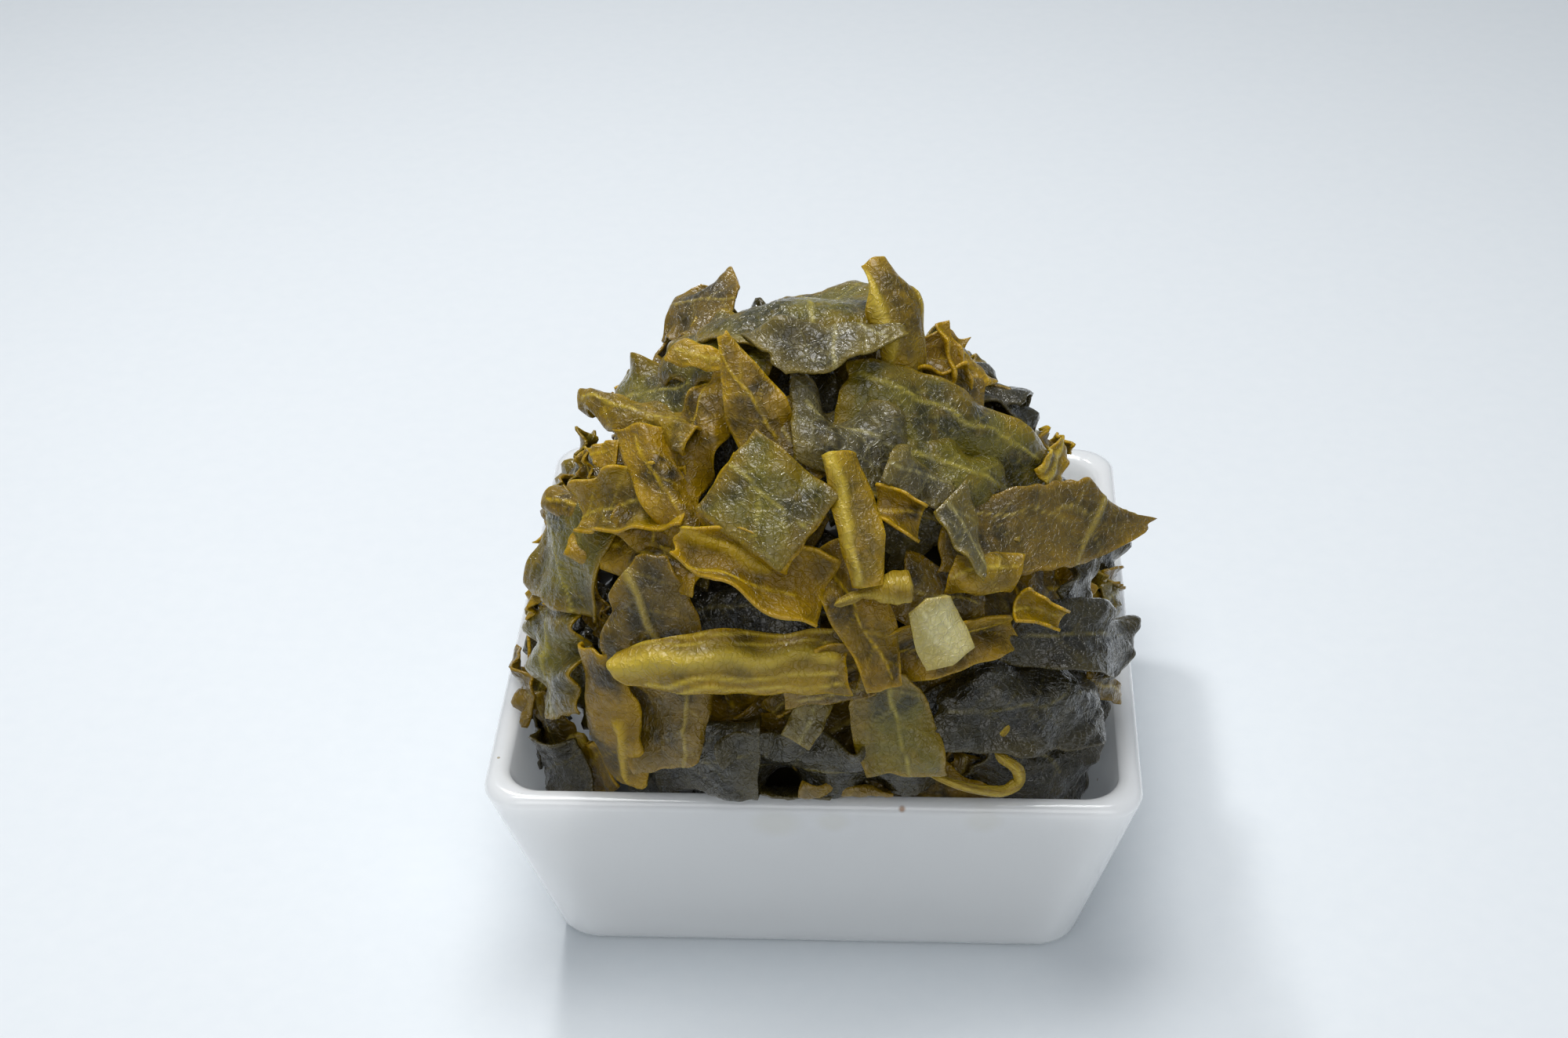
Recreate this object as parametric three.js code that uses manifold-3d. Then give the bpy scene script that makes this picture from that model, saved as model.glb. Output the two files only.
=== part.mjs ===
// Stewed collard greens, heaped in a square porcelain bowl.
//
// Millimetres. +Z is up, -Y is the front, and the origin is the middle of the bowl's flat foot.
// The bowl is one solid, turned as a profile and pressed square. The greens are chopped leaf pieces: each
// is a thin slab, bent to lie on the heap, with a round midrib where the piece has one. Three packed wads
// of greens fill the bowl and the inside of the heap. Every piece is a separate closed solid.

import * as THREE from "three";
import { mergeVertices } from "three/addons/utils/BufferGeometryUtils.js";
import Module from "manifold-3d";

const wasm = await Module();
wasm.setup();

// ---------------------------------------------------------------- driving dimensions

const BOWL = {
  rimHalf: 58, // half the width where the outer walls would meet the rim
  footHalf: 47, // half the width where the outer walls would meet the table
  height: 43,
  wall: 4,
  floor: 5,
  corner: 7, // radius of the upright corners
  lip: 1.8, // radius of the rounded rim
  heel: 4.5, // radius where the wall turns under
  well: 6, // radius where the inner wall meets the floor
  sides: 40,
};

// The heap's skin is a rounded-square dome about a centre inside the bowl. Its back leans in as it climbs.
const HEAP = { centreHeight: 30, radius: 54, rise: 80, squareness: 2.5, backLean: 0.7 };

const LEAF = { thickness: 0.9, alongCells: 5, acrossCells: 4, hugRadius: 55 };
const RIB = { sides: 8, steps: 5 };
const GAP = 0.35; // clearance kept between neighbouring pieces

// The packed middle lies under the skin and is parted into wads by leaning faces: height, lean in x and y.
const PACKED = { underSkin: 4, lump: 0.03, columns: 32, rows: 18 };
const PARTINGS = [
  [33, 0.06, -0.04],
  [61, -0.05, 0.07],
];

const TONES = {
  olive: 0x6f6a2c,
  grey: 0x5c5747,
  mustard: 0x9c7d1e,
  amber: 0x94661a,
  brown: 0x6a5426,
  dark: 0x34322c,
  pale: 0xc2b169,
  packed: 0x2b2a1c,
  porcelain: 0xf1f3f2,
};

// ---------------------------------------------------------------- small helpers

const radians = THREE.MathUtils.degToRad;
const mix = THREE.MathUtils.lerp;

// A geometry with its seams welded: only positions are kept.
function welded(geometry) {
  geometry.deleteAttribute("normal");
  geometry.deleteAttribute("uv");
  return mergeVertices(geometry, 1e-3);
}

function solidOf(geometry) {
  const { array } = geometry.attributes.position;
  return new wasm.Manifold(
    new wasm.Mesh({ numProp: 3, vertProperties: array, triVerts: new Uint32Array(geometry.index.array) }),
  );
}

function geometryOf(solid) {
  const mesh = solid.getMesh();
  const points = new Float32Array(mesh.numVert * 3);
  for (let i = 0; i < mesh.numVert; i++) {
    const start = i * mesh.numProp;
    points.set(mesh.vertProperties.subarray(start, start + 3), i * 3);
  }
  return new THREE.BufferGeometry()
    .setAttribute("position", new THREE.BufferAttribute(points, 3))
    .setIndex(new THREE.BufferAttribute(mesh.triVerts, 1));
}

// The largest body of a solid that a cut may have left in several bits.
function largestBody(solid) {
  return solid.decompose().reduce((best, body) => (body.volume() > best.volume() ? body : best));
}

function moveVertices(geometry, rule) {
  const position = geometry.attributes.position;
  const point = new THREE.Vector3();
  for (let i = 0; i < position.count; i++) {
    point.fromBufferAttribute(position, i);
    const moved = rule(point);
    position.setXYZ(i, moved.x, moved.y, moved.z);
  }
  return geometry;
}

function named(name, geometry, tone, roughness) {
  const material = new THREE.MeshStandardMaterial({ color: TONES[tone], roughness, metalness: 0 });
  const mesh = new THREE.Mesh(geometry, material);
  mesh.name = name;
  return mesh;
}

// ---------------------------------------------------------------- the bowl

// A point of a turned shape, pushed out from its circle to a square with round corners. The middle half of
// each quarter turn becomes the corner's arc, and the rest becomes the flats on either side of it.
function squared(point, corner) {
  const radius = Math.hypot(point.x, point.y);
  if (radius < 1e-6) return point.clone();
  const round = Math.min(corner, radius);
  const straight = radius - round;
  const angle = Math.atan2(point.y, point.x);
  const diagonal = Math.floor(angle / (Math.PI / 2)) * (Math.PI / 2) + Math.PI / 4;
  const share = (angle - diagonal) / (Math.PI / 4); // -1 to 1 within the quarter
  const turn = THREE.MathUtils.clamp(2 * share, -1, 1) * (Math.PI / 4);
  const run = Math.max(0, 2 * Math.abs(share) - 1) * Math.sign(share) * straight;
  const heading = diagonal + turn;
  const reach = Math.SQRT2 * straight;
  return new THREE.Vector3(
    reach * Math.cos(diagonal) + round * Math.cos(heading) - run * Math.sin(heading),
    reach * Math.sin(diagonal) + round * Math.sin(heading) + run * Math.cos(heading),
    point.z,
  );
}

// Points of an arc in the profile plane, between two headings in degrees.
function arc(x, y, radius, from, to, count) {
  return Array.from({ length: count + 1 }, (_, i) => {
    const angle = radians(mix(from, to, i / count));
    return new THREE.Vector2(x + radius * Math.cos(angle), y + radius * Math.sin(angle));
  });
}

function outerHalf(z) {
  return mix(BOWL.footHalf, BOWL.rimHalf, z / BOWL.height);
}

function innerHalf(z) {
  return outerHalf(z) - BOWL.wall;
}

// A turned solid pressed square, from a profile that starts and ends on the axis.
function pressed(profile) {
  const turned = new THREE.LatheGeometry(profile, BOWL.sides).rotateX(Math.PI / 2);
  return welded(moveVertices(turned, (p) => squared(p, BOWL.corner)));
}

function bowl() {
  const lean = THREE.MathUtils.radToDeg(Math.atan2(BOWL.rimHalf - BOWL.footHalf, BOWL.height));
  const lipZ = BOWL.height - BOWL.lip;
  const wellZ = BOWL.floor + BOWL.well;
  return pressed([
    new THREE.Vector2(0, 0),
    ...arc(outerHalf(BOWL.heel) - BOWL.heel, BOWL.heel, BOWL.heel, -90, -lean, 3),
    ...arc(outerHalf(lipZ) - BOWL.lip, lipZ, BOWL.lip, -lean, 90, 3),
    ...arc(innerHalf(lipZ) + BOWL.lip, lipZ, BOWL.lip, 90, 180, 2),
    ...arc(innerHalf(wellZ) - BOWL.well, wellZ, BOWL.well, 0, -90, 3),
    new THREE.Vector2(0, BOWL.floor),
  ]);
}

// The room inside the bowl, less the clearance, carried up past the top of the heap.
function room() {
  const top = HEAP.centreHeight + 1.5 * HEAP.rise;
  const wellZ = BOWL.floor + BOWL.well;
  return pressed([
    new THREE.Vector2(0, BOWL.floor + GAP),
    ...arc(innerHalf(wellZ) - BOWL.well - GAP, wellZ + GAP, BOWL.well, -90, 0, 3),
    new THREE.Vector2(innerHalf(top) - GAP, top),
    new THREE.Vector2(0, top),
  ]);
}

// ---------------------------------------------------------------- places on the heap

function domeRadiusAt(direction, lift) {
  const { radius, rise, squareness: n, backLean } = HEAP;
  const climb = Math.max(0, direction.z);
  const depth = direction.y > 0 ? 1 - backLean * climb : 1;
  const across = Math.pow(Math.abs(direction.x) ** n + Math.abs(direction.y / depth) ** n, 2 / n);
  return 1 / Math.sqrt(across / (radius + lift) ** 2 + direction.z ** 2 / (rise + lift) ** 2);
}

// azimuth: 0 is the front, 90 the right. elevation: 0 is level, 90 straight up. lift: off the dome.
function domePoint(azimuth, elevation, lift) {
  const a = radians(azimuth);
  const e = radians(elevation);
  const way = new THREE.Vector3(Math.sin(a) * Math.cos(e), -Math.cos(a) * Math.cos(e), Math.sin(e));
  return way.multiplyScalar(domeRadiusAt(way, lift)).add(new THREE.Vector3(0, 0, HEAP.centreHeight));
}

// The dome's own directions at a place: east runs round it, north climbs it, out leaves it.
function domeAxes(azimuth, elevation, lift) {
  const step = 0.5;
  const east = domePoint(azimuth + step, elevation, lift).sub(domePoint(azimuth - step, elevation, lift));
  const climb = domePoint(azimuth, elevation + step, lift).sub(domePoint(azimuth, elevation - step, lift));
  const out = east.clone().cross(climb).normalize();
  const level = new THREE.Vector3(Math.cos(radians(azimuth)), Math.sin(radians(azimuth)), 0);
  const evened = level.addScaledVector(out, -level.dot(out)).normalize();
  return { east: evened, north: out.clone().cross(evened), out };
}

// The matrix that puts a leaf, modelled flat in XY about its own middle, in its place on the heap.
function placing({ at, tilt, spin }) {
  const [azimuth, elevation, lift] = at;
  const { east, north, out } = domeAxes(azimuth, elevation, lift);
  const normal = out.clone();
  normal.addScaledVector(north, Math.tan(radians(tilt[0])));
  normal.addScaledVector(east, Math.tan(radians(tilt[1]))).normalize();
  const level = east.clone().addScaledVector(normal, -east.dot(normal)).normalize();
  const along = level.applyAxisAngle(normal, radians(spin));
  const across = normal.clone().cross(along);
  return new THREE.Matrix4().makeBasis(along, across, normal).setPosition(domePoint(azimuth, elevation, lift));
}

// ---------------------------------------------------------------- a piece of leaf

// Where a point of the flat piece goes: u and v run -1 to 1 along and across it, h is its height.
function bent(leaf, u, v, h) {
  const [length, startWidth, endWidth] = leaf.size;
  const [arch, curl, twist] = leaf.bend.map(radians);
  const width = mix(startWidth, endWidth, (u + 1) / 2);
  const y = (v * width) / 2;
  const x = (u * length) / 2 + leaf.skew * y;
  const widest = Math.max(startWidth, endWidth);
  const curlRadius = widest / (Math.abs(curl) < 0.01 ? 0.01 : curl);
  const archRadius = length / (Math.abs(arch) < 0.01 ? 0.01 : arch);
  const roll = y / curlRadius;
  const y1 = (curlRadius + h) * Math.sin(roll);
  const z1 = (curlRadius + h) * Math.cos(roll) - curlRadius;
  const turn = (twist * u) / 2;
  const y2 = y1 * Math.cos(turn) - z1 * Math.sin(turn);
  const z2 = y1 * Math.sin(turn) + z1 * Math.cos(turn);
  const pitch = x / archRadius;
  return new THREE.Vector3(
    (archRadius + z2) * Math.sin(pitch),
    y2,
    (archRadius + z2) * Math.cos(pitch) - archRadius,
  );
}

function blade(leaf, grow) {
  const slab = new THREE.BoxGeometry(2, 2, 1, LEAF.alongCells, LEAF.acrossCells, 1);
  const [length, startWidth, endWidth] = leaf.size;
  const stretchU = 1 + (2 * grow) / length;
  const stretchV = 1 + (2 * grow) / Math.min(startWidth, endWidth);
  const thickness = leaf.thickness + 2 * grow;
  return welded(moveVertices(slab, (p) => bent(leaf, p.x * stretchU, p.y * stretchV, p.z * thickness)));
}

// The midrib: a round bar that follows the bent blade from one point of it to another.
function midrib(leaf, grow) {
  const [u0, v0, u1, v1, diameter] = leaf.rib;
  const points = [0, 0.25, 0.5, 0.75, 1].map((t) => bent(leaf, mix(u0, u1, t), mix(v0, v1, t), 0));
  const section = new THREE.Shape().absarc(0, 0, diameter / 2 + grow, 0, Math.PI * 2);
  const extrudePath = new THREE.CatmullRomCurve3(points);
  const { steps, sides } = RIB;
  return welded(new THREE.ExtrudeGeometry(section, { steps, curveSegments: sides / 2, extrudePath }));
}

function leafSolid(leaf, grow = 0) {
  const flatBlade = solidOf(blade(leaf, grow));
  const whole = leaf.rib ? flatBlade.add(solidOf(midrib(leaf, grow))) : flatBlade;
  return whole.transform(placing(leaf).elements);
}

function leaf(name, at, tilt, spin, size, skew, tone, extras = {}) {
  const widest = Math.max(size[1], size[2]);
  const hug = (span) => THREE.MathUtils.radToDeg(span / LEAF.hugRadius);
  const bend = [hug(size[0]), hug(widest), 0];
  return { name, at, tilt, spin, size, skew, tone, bend, thickness: LEAF.thickness, ...extras };
}

// name, [azimuth, elevation, lift], [tilt up, tilt east], spin,
// [length, width at the start, width at the end], skew, tone, extras.
// rib: from (u, v) to (u, v), diameter. bend: arch along, curl across, twist.
const LEAVES = [
  // the crown
  leaf("crown_leaf", [3, 83, 5], [5, -5], 0, [21, 13, 19], -0.1, "olive"),
  leaf("crown_rib_leaf", [45, 79, 9], [-25, 15], -30, [7, 17, 18], 0.3, "pale", {
    rib: [-0.6, -0.9, -0.6, 0.9, 4],
  }),
  leaf("crown_left_flap", [-41, 76, 5], [10, -10], 15, [12, 20, 13], 0.1, "olive"),
  leaf("peak_left_leaf", [-78, 75, 3], [0, 5], 35, [12, 16, 12], -0.1, "amber"),
  leaf("grey_top_leaf", [8, 75, 9], [5, 5], 10, [16, 13, 8], -0.7, "grey"),
  leaf("shoulder_leaf", [40, 63, 4], [-5, 0], -50, [34, 12, 12], 0, "olive"),
  leaf("shoulder_under_leaf", [39, 57, 5], [5, 5], -50, [24, 9, 10], -0.3, "olive"),
  leaf("amber_spike", [-19, 69, 10], [-15, 10], 140, [16, 9, 2], -0.2, "amber"),
  leaf("blistered_leaf", [14, 63, 8], [0, 5], -25, [20, 12, 11], -0.7, "grey"),
  leaf("right_top_cup", [52, 72, 5], [10, 0], -35, [9, 6, 12], 0.5, "amber"),
  leaf("right_top_leaf", [46, 68, 4], [0, 0], -50, [13, 8, 9], -0.4, "brown"),
  // the middle of the front
  leaf("square_leaf", [-10, 56, 12], [10, -5], -30, [18, 14, 13], 0, "olive"),
  leaf("rib_strip", [9, 54, 14], [10, 5], -85, [19, 4, 5], -0.1, "mustard", {
    rib: [-0.95, -0.5, 0.95, -0.5, 3],
  }),
  leaf("stem_slice", [21, 40, 13], [5, 10], -80, [12, 6, 8], 0.1, "pale", { thickness: 1.8 }),
  leaf("hanging_leaf", [29, 50, 12], [15, 10], -85, [11, 6, 3], -0.5, "olive"),
  leaf("right_wing_leaf", [49, 47, 10], [10, -10], -30, [36, 9, 11], 0.5, "brown", {
    rib: [0.75, 0.9, 0.25, -1.2, 1.8],
  }),
  leaf("pale_fold_leaf", [33, 45, 9], [15, 0], -30, [9, 6, 6], 0.3, "mustard"),
  leaf("boat_leaf", [-10, 48, 12], [15, 10], -10, [19, 6, 12], -0.3, "amber", {
    bend: [10, -90, 0],
    rib: [-0.9, 0.1, 0.6, 0.1, 2.2],
  }),
  leaf("boat_tail_leaf", [7, 44, 9], [10, 10], -75, [20, 9, 9], 0.1, "mustard"),
  leaf("olive_back_leaf", [24, 43, 7], [0, 5], -35, [12, 11, 6], -0.2, "olive"),
  leaf("front_stem_leaf", [-13, 37, 11], [20, 0], 10, [38, 7, 9], 0.2, "mustard", {
    rib: [-0.95, 0, 0.9, 0, 5],
  }),
  leaf("front_right_leaf", [20, 38, 7], [15, 0], -5, [29, 9, 7], 0.1, "mustard"),
  // the left flank
  leaf("left_amber_sheet", [-27, 61, 6], [0, 0], 90, [24, 13, 5], 0.5, "amber"),
  leaf("cross_strip", [-32, 55, 9], [0, -5], -35, [24, 4, 3], 0.6, "amber"),
  leaf("left_mustard_cup", [-38, 51, 9], [10, 0], 30, [16, 7, 11], 0, "mustard"),
  leaf("left_ruffle", [-49, 61, 8], [15, -10], 25, [21, 7, 11], 0.1, "amber"),
  leaf("ruffle_back_leaf", [-56, 66, 4], [5, -5], 30, [17, 11, 8], -0.3, "brown"),
  leaf("left_side_leaf", [-52, 42, 6], [0, 0], 25, [20, 17, 19], -0.1, "grey", {
    rib: [-0.85, 0.9, 0.55, -0.95, 2],
  }),
  leaf("left_shelf_leaf", [-35, 47, 6], [15, 0], 15, [19, 6, 8], -0.1, "olive"),
  leaf("vein_leaf_left", [-28, 39, 8], [5, 5], -80, [13, 17, 11], -0.4, "brown", {
    rib: [-0.95, -0.3, 0.95, 0.2, 2.6],
  }),
  leaf("dark_mid_leaf", [-15, 44, 3], [0, 0], 5, [22, 14, 10], 0.2, "dark"),
  // low in the bowl, along the front
  leaf("left_yellow_leaf", [-33, 24, 7], [-10, -5], -75, [23, 10, 8], 0, "amber", {
    rib: [0.0, 0.35, 0.95, 0.1, 3],
  }),
  leaf("left_pale_leaf", [-48, 27, 6], [0, -5], -55, [17, 20, 12], 0, "grey"),
  leaf("under_stem_leaf", [-24, 26, 6], [-10, 0], -85, [10, 15, 8], -0.4, "brown"),
  leaf("front_dark_fold", [-18, 20, 4], [0, 0], 10, [16, 12, 12], 0.2, "dark"),
  leaf("front_dark_leaf", [3, 20, 4], [-5, 0], -5, [26, 12, 11], -0.4, "dark"),
  leaf("front_olive_leaf", [14, 28, 8], [-5, 0], -80, [18, 8, 11], 0.3, "olive"),
  leaf("right_black_leaf", [39, 25, 4], [5, 5], -30, [31, 11, 12], 0.3, "dark"),
  leaf("right_low_leaf", [40, 14, 4], [-5, -5], -35, [19, 17, 13], -0.2, "dark"),
  leaf("right_dark_leaf", [52, 30, 6], [10, 5], -45, [23, 8, 9], 0.7, "dark"),
  leaf("wall_leaf_right", [60, 4, -2], [-15, -15], -65, [20, 9, 6], 0.3, "dark"),
];

// ---------------------------------------------------------------- the back and far sides

// Larger pieces lie in three overlapping rows round the back, each a little out of line.
const BACK_ROWS = [
  { elevation: 27, lift: 0, from: 84, to: 280, count: 5, size: [33, 27, 23] },
  { elevation: 46, lift: 1, from: 98, to: 262, count: 5, size: [27, 23, 18] },
  { elevation: 64, lift: 0, from: 118, to: 242, count: 3, size: [22, 17, 14] },
];
const BACK_TONES = ["olive", "brown", "dark", "mustard", "grey"];

function backLeaves() {
  const leaves = [];
  BACK_ROWS.forEach((row, level) => {
    for (let i = 0; i < row.count; i++) {
      const azimuth = mix(row.from, row.to, row.count > 1 ? i / (row.count - 1) : 0.5);
      const sway = ((i * 7 + level * 3) % 5) - 2; // -2 to 2, a fixed shuffle
      const at = [azimuth, row.elevation + sway, row.lift + 2 * (i % 2)];
      const tone = BACK_TONES[(i * 2 + level) % BACK_TONES.length];
      const name = `back_leaf_${leaves.length + 1}`;
      leaves.push(leaf(name, at, [3 * sway, -2 * sway], 30 * sway, row.size, 0.1 * sway, tone));
    }
  });
  return leaves;
}

// ---------------------------------------------------------------- small solid pieces

const STEM_CHUNK = leaf("stem_chunk", [-46, 9, -1], [-20, 0], 60, [7, 6, 6], 0, "mustard", {
  thickness: 5,
  bend: [0, 0, 0],
});

// A swollen, twisted end of stem: a plump head on a narrow neck.
function budSolid(grow = 0) {
  const profile = [
    [0, 0],
    [1.3, 0.4],
    [1.1, 3],
    [0.9, 4.5],
    [2.3, 7],
    [2.8, 9.5],
    [1.9, 12],
    [0, 12.6],
  ].map(([radius, along]) => new THREE.Vector2(radius ? radius + grow : 0, along + (along > 6 ? grow : -grow)));
  const head = new THREE.LatheGeometry(profile, 12);
  head.translate(0, -6.3, 0).rotateZ(-Math.PI / 2);
  const place = placing({ at: [14, 46, 14], tilt: [0, 0], spin: 5 });
  return solidOf(welded(head)).transform(place.elements);
}

// ---------------------------------------------------------------- packed greens inside

// The whole packed middle: a lumpy dome just under the skin, held inside the bowl.
function packedMiddle() {
  const ball = new THREE.SphereGeometry(1, PACKED.columns, PACKED.rows).rotateX(Math.PI / 2);
  const centre = new THREE.Vector3(0, 0, HEAP.centreHeight);
  const dome = moveVertices(ball, (p) => {
    const way = p.clone().normalize();
    const lump = 1 + PACKED.lump * Math.sin(7 * way.x + 2) * Math.sin(6 * way.y - 5 * way.z);
    return way.multiplyScalar(domeRadiusAt(way, -PACKED.underSkin) * lump).add(centre);
  });
  return solidOf(welded(dome)).intersect(solidOf(room()));
}

// The middle parted into wads, from the bowl's floor to the top.
function wads() {
  const parts = [];
  let rest = packedMiddle();
  for (const [height, leanX, leanY] of PARTINGS) {
    const up = new THREE.Vector3(leanX, leanY, 1).normalize();
    const level = height * up.z;
    const down = up.clone().negate();
    parts.push(rest.trimByPlane(down.toArray(), GAP / 2 - level));
    rest = rest.trimByPlane(up.toArray(), GAP / 2 + level);
  }
  return [...parts, rest];
}

// ---------------------------------------------------------------- laying the heap

// The outermost piece is laid whole. Each piece further in is notched to clear those outside it.
function layHeap() {
  const pieces = [...LEAVES, ...backLeaves(), STEM_CHUNK].map((row) => ({
    name: row.name,
    tone: row.tone,
    lift: row.at[2],
    solid: leafSolid(row),
    cutter: leafSolid(row, GAP),
  }));
  pieces.push({ name: "stem_bud", tone: "mustard", lift: 14, solid: budSolid(), cutter: budSolid(GAP) });
  pieces.sort((a, b) => b.lift - a.lift);
  wads().forEach((solid, i) => pieces.push({ name: `packed_greens_${i + 1}`, tone: "packed", solid }));
  const bowlCutter = solidOf(bowl());
  const cutters = [bowlCutter];
  for (const piece of pieces) {
    const near = cutters.filter((cutter) => cutter.intersect(piece.solid).volume() > 0);
    const clear = near.reduce((solid, cutter) => solid.subtract(cutter), piece.solid);
    piece.solid = near.length ? largestBody(clear) : clear;
    if (piece.cutter) cutters.push(piece.cutter);
  }
  return pieces;
}

const collardGreens = new THREE.Group();
collardGreens.add(named("bowl", bowl(), "porcelain", 0.12));
for (const piece of layHeap()) {
  collardGreens.add(named(piece.name, geometryOf(piece.solid), piece.tone, 0.35));
}

export default collardGreens;
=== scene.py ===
# %% [markdown]
# # Stewed collard greens in a square porcelain bowl
#
# A small square bowl holds one serving of collard greens. The greens were stewed, so the leaves are dark,
# limp and wet, and they were chopped, so the heap is made of many small pieces: flat squares, folded strips,
# cups and curls, with yellow midribs and cut edges that glow amber where light comes through them.
#
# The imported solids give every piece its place. This script gives each piece its looks. All sizes are in
# millimetres until a mesh is made, and then they are turned to metres.

import math
import random

import bmesh
import bpy
import numpy as np
from mathutils import Matrix, Vector


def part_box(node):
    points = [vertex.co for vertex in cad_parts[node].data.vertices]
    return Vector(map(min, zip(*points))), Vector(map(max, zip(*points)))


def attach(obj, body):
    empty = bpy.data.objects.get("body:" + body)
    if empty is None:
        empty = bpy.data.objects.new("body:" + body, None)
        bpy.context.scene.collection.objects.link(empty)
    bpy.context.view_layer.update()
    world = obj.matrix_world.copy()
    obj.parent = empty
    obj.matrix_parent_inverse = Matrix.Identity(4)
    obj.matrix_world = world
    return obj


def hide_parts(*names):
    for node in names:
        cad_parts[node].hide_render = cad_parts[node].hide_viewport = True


MM = 0.001

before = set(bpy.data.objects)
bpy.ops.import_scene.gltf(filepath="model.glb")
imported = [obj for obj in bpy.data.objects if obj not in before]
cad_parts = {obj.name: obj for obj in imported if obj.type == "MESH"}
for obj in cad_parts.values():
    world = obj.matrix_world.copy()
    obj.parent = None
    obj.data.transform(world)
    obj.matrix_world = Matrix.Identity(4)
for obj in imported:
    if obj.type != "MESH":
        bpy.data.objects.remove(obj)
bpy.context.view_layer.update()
print("nodes in the frame:", len(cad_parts))

# %% [markdown]
# ## The camera
# The camera looks down on the bowl from the front, as a person at the table would. A long lens half a metre
# away keeps the bowl's sides nearly parallel. The camera is made first, because what shows decides how much
# work each side of the heap deserves.

# %% Camera
CAMERA_PLACE = (20.5, -402.8, 339.8)
CAMERA_PITCH = 34.4  # degrees below the horizon
CAMERA_HEADING = 3.9  # degrees to the left of straight ahead
CAMERA_ROLL = -1.6
CAMERA_LENS = 60.4  # on a 36 mm sensor


def make_camera():
    data = bpy.data.cameras.new("camera")
    data.sensor_width = 36
    data.lens = CAMERA_LENS
    data.clip_start = 0.01
    made = bpy.data.objects.new("camera", data)
    bpy.context.scene.collection.objects.link(made)
    heading = Matrix.Rotation(math.radians(CAMERA_HEADING), 4, "Z")
    pitch = Matrix.Rotation(math.radians(90 - CAMERA_PITCH), 4, "X")
    roll = Matrix.Rotation(math.radians(CAMERA_ROLL), 4, "Z")
    place = Matrix.Translation(Vector(CAMERA_PLACE) * MM)
    made.matrix_world = place @ heading @ pitch @ roll
    bpy.context.scene.camera = made


make_camera()
print("lens:", CAMERA_LENS, "mm")

# %% [markdown]
# ## Colours and nodes
# Colours are written as sRGB hex values, as a colour picker gives them. Blender's shaders work in linear
# light, so one function converts them. A second small function adds a node, sets it and links it.

# %% Colour and node helpers


def linear(hex_colour):
    channels = [int(hex_colour[i : i + 2], 16) / 255 for i in (1, 3, 5)]
    curved = [c / 12.92 if c <= 0.04045 else ((c + 0.055) / 1.055) ** 2.4 for c in channels]
    return (*curved, 1.0)


def add(tree, kind, inputs=None, **settings):
    """A new node with its settings; inputs holds a value or another node's output for each socket."""
    made = tree.nodes.new(kind)
    for key, value in settings.items():
        setattr(made, key, value)
    for key, value in (inputs or {}).items():
        if isinstance(value, bpy.types.NodeSocket):
            tree.links.new(value, made.inputs[key])
        else:
            made.inputs[key].default_value = value
    return made


def new_material(name):
    made = bpy.data.materials.new(name)
    made.use_nodes = True
    made.node_tree.nodes.clear()
    return made, made.node_tree


def finish_material(tree, shader):
    add(tree, "ShaderNodeOutputMaterial", {"Surface": shader.outputs[0]})


# %% [markdown]
# ## Cooked leaf
# Stewing turns the chlorophyll olive and brown, and leaves a film of cooking liquid on the skin. So the
# surface has two glosses: a soft one from the leaf itself, and a sharper wet coat that follows the same
# wrinkles. Light also passes through the flesh, so the material scatters some of it below the surface.
#
# The colour is laid on in layers, each where a pattern is strong: broad patches about a centimetre across,
# small stains, two nets of fine veins, and then the cut edges and main veins, which the mesh marks with its
# own attributes. The edge colour on the cut edges is partly their own paler tissue and partly painted glow,
# the amber of light coming through the thin edge, laid on whatever the lamps do. One relief of nets, pores
# and wrinkles bends the light on both glosses.

# %% Leaf material
PATCH_SIZE = 9.0  # mm across, the broad patches of colour
NET_SIZES = (3.2, 1.3)  # mm between the fine veins, coarse and fine
GRAIN_SIZE = 0.7  # mm, the pores that break up the wet film
WRINKLE_SIZE = 2.0  # mm, the puckers of a limp skin
MOTTLE_SIZE = 3.5  # mm, stains of brown and yellow
BUMP_DEPTH = 0.85  # mm, the relief that a pattern value of 1 stands for
EASED = {"interpolation_type": "SMOOTHSTEP"}


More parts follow.
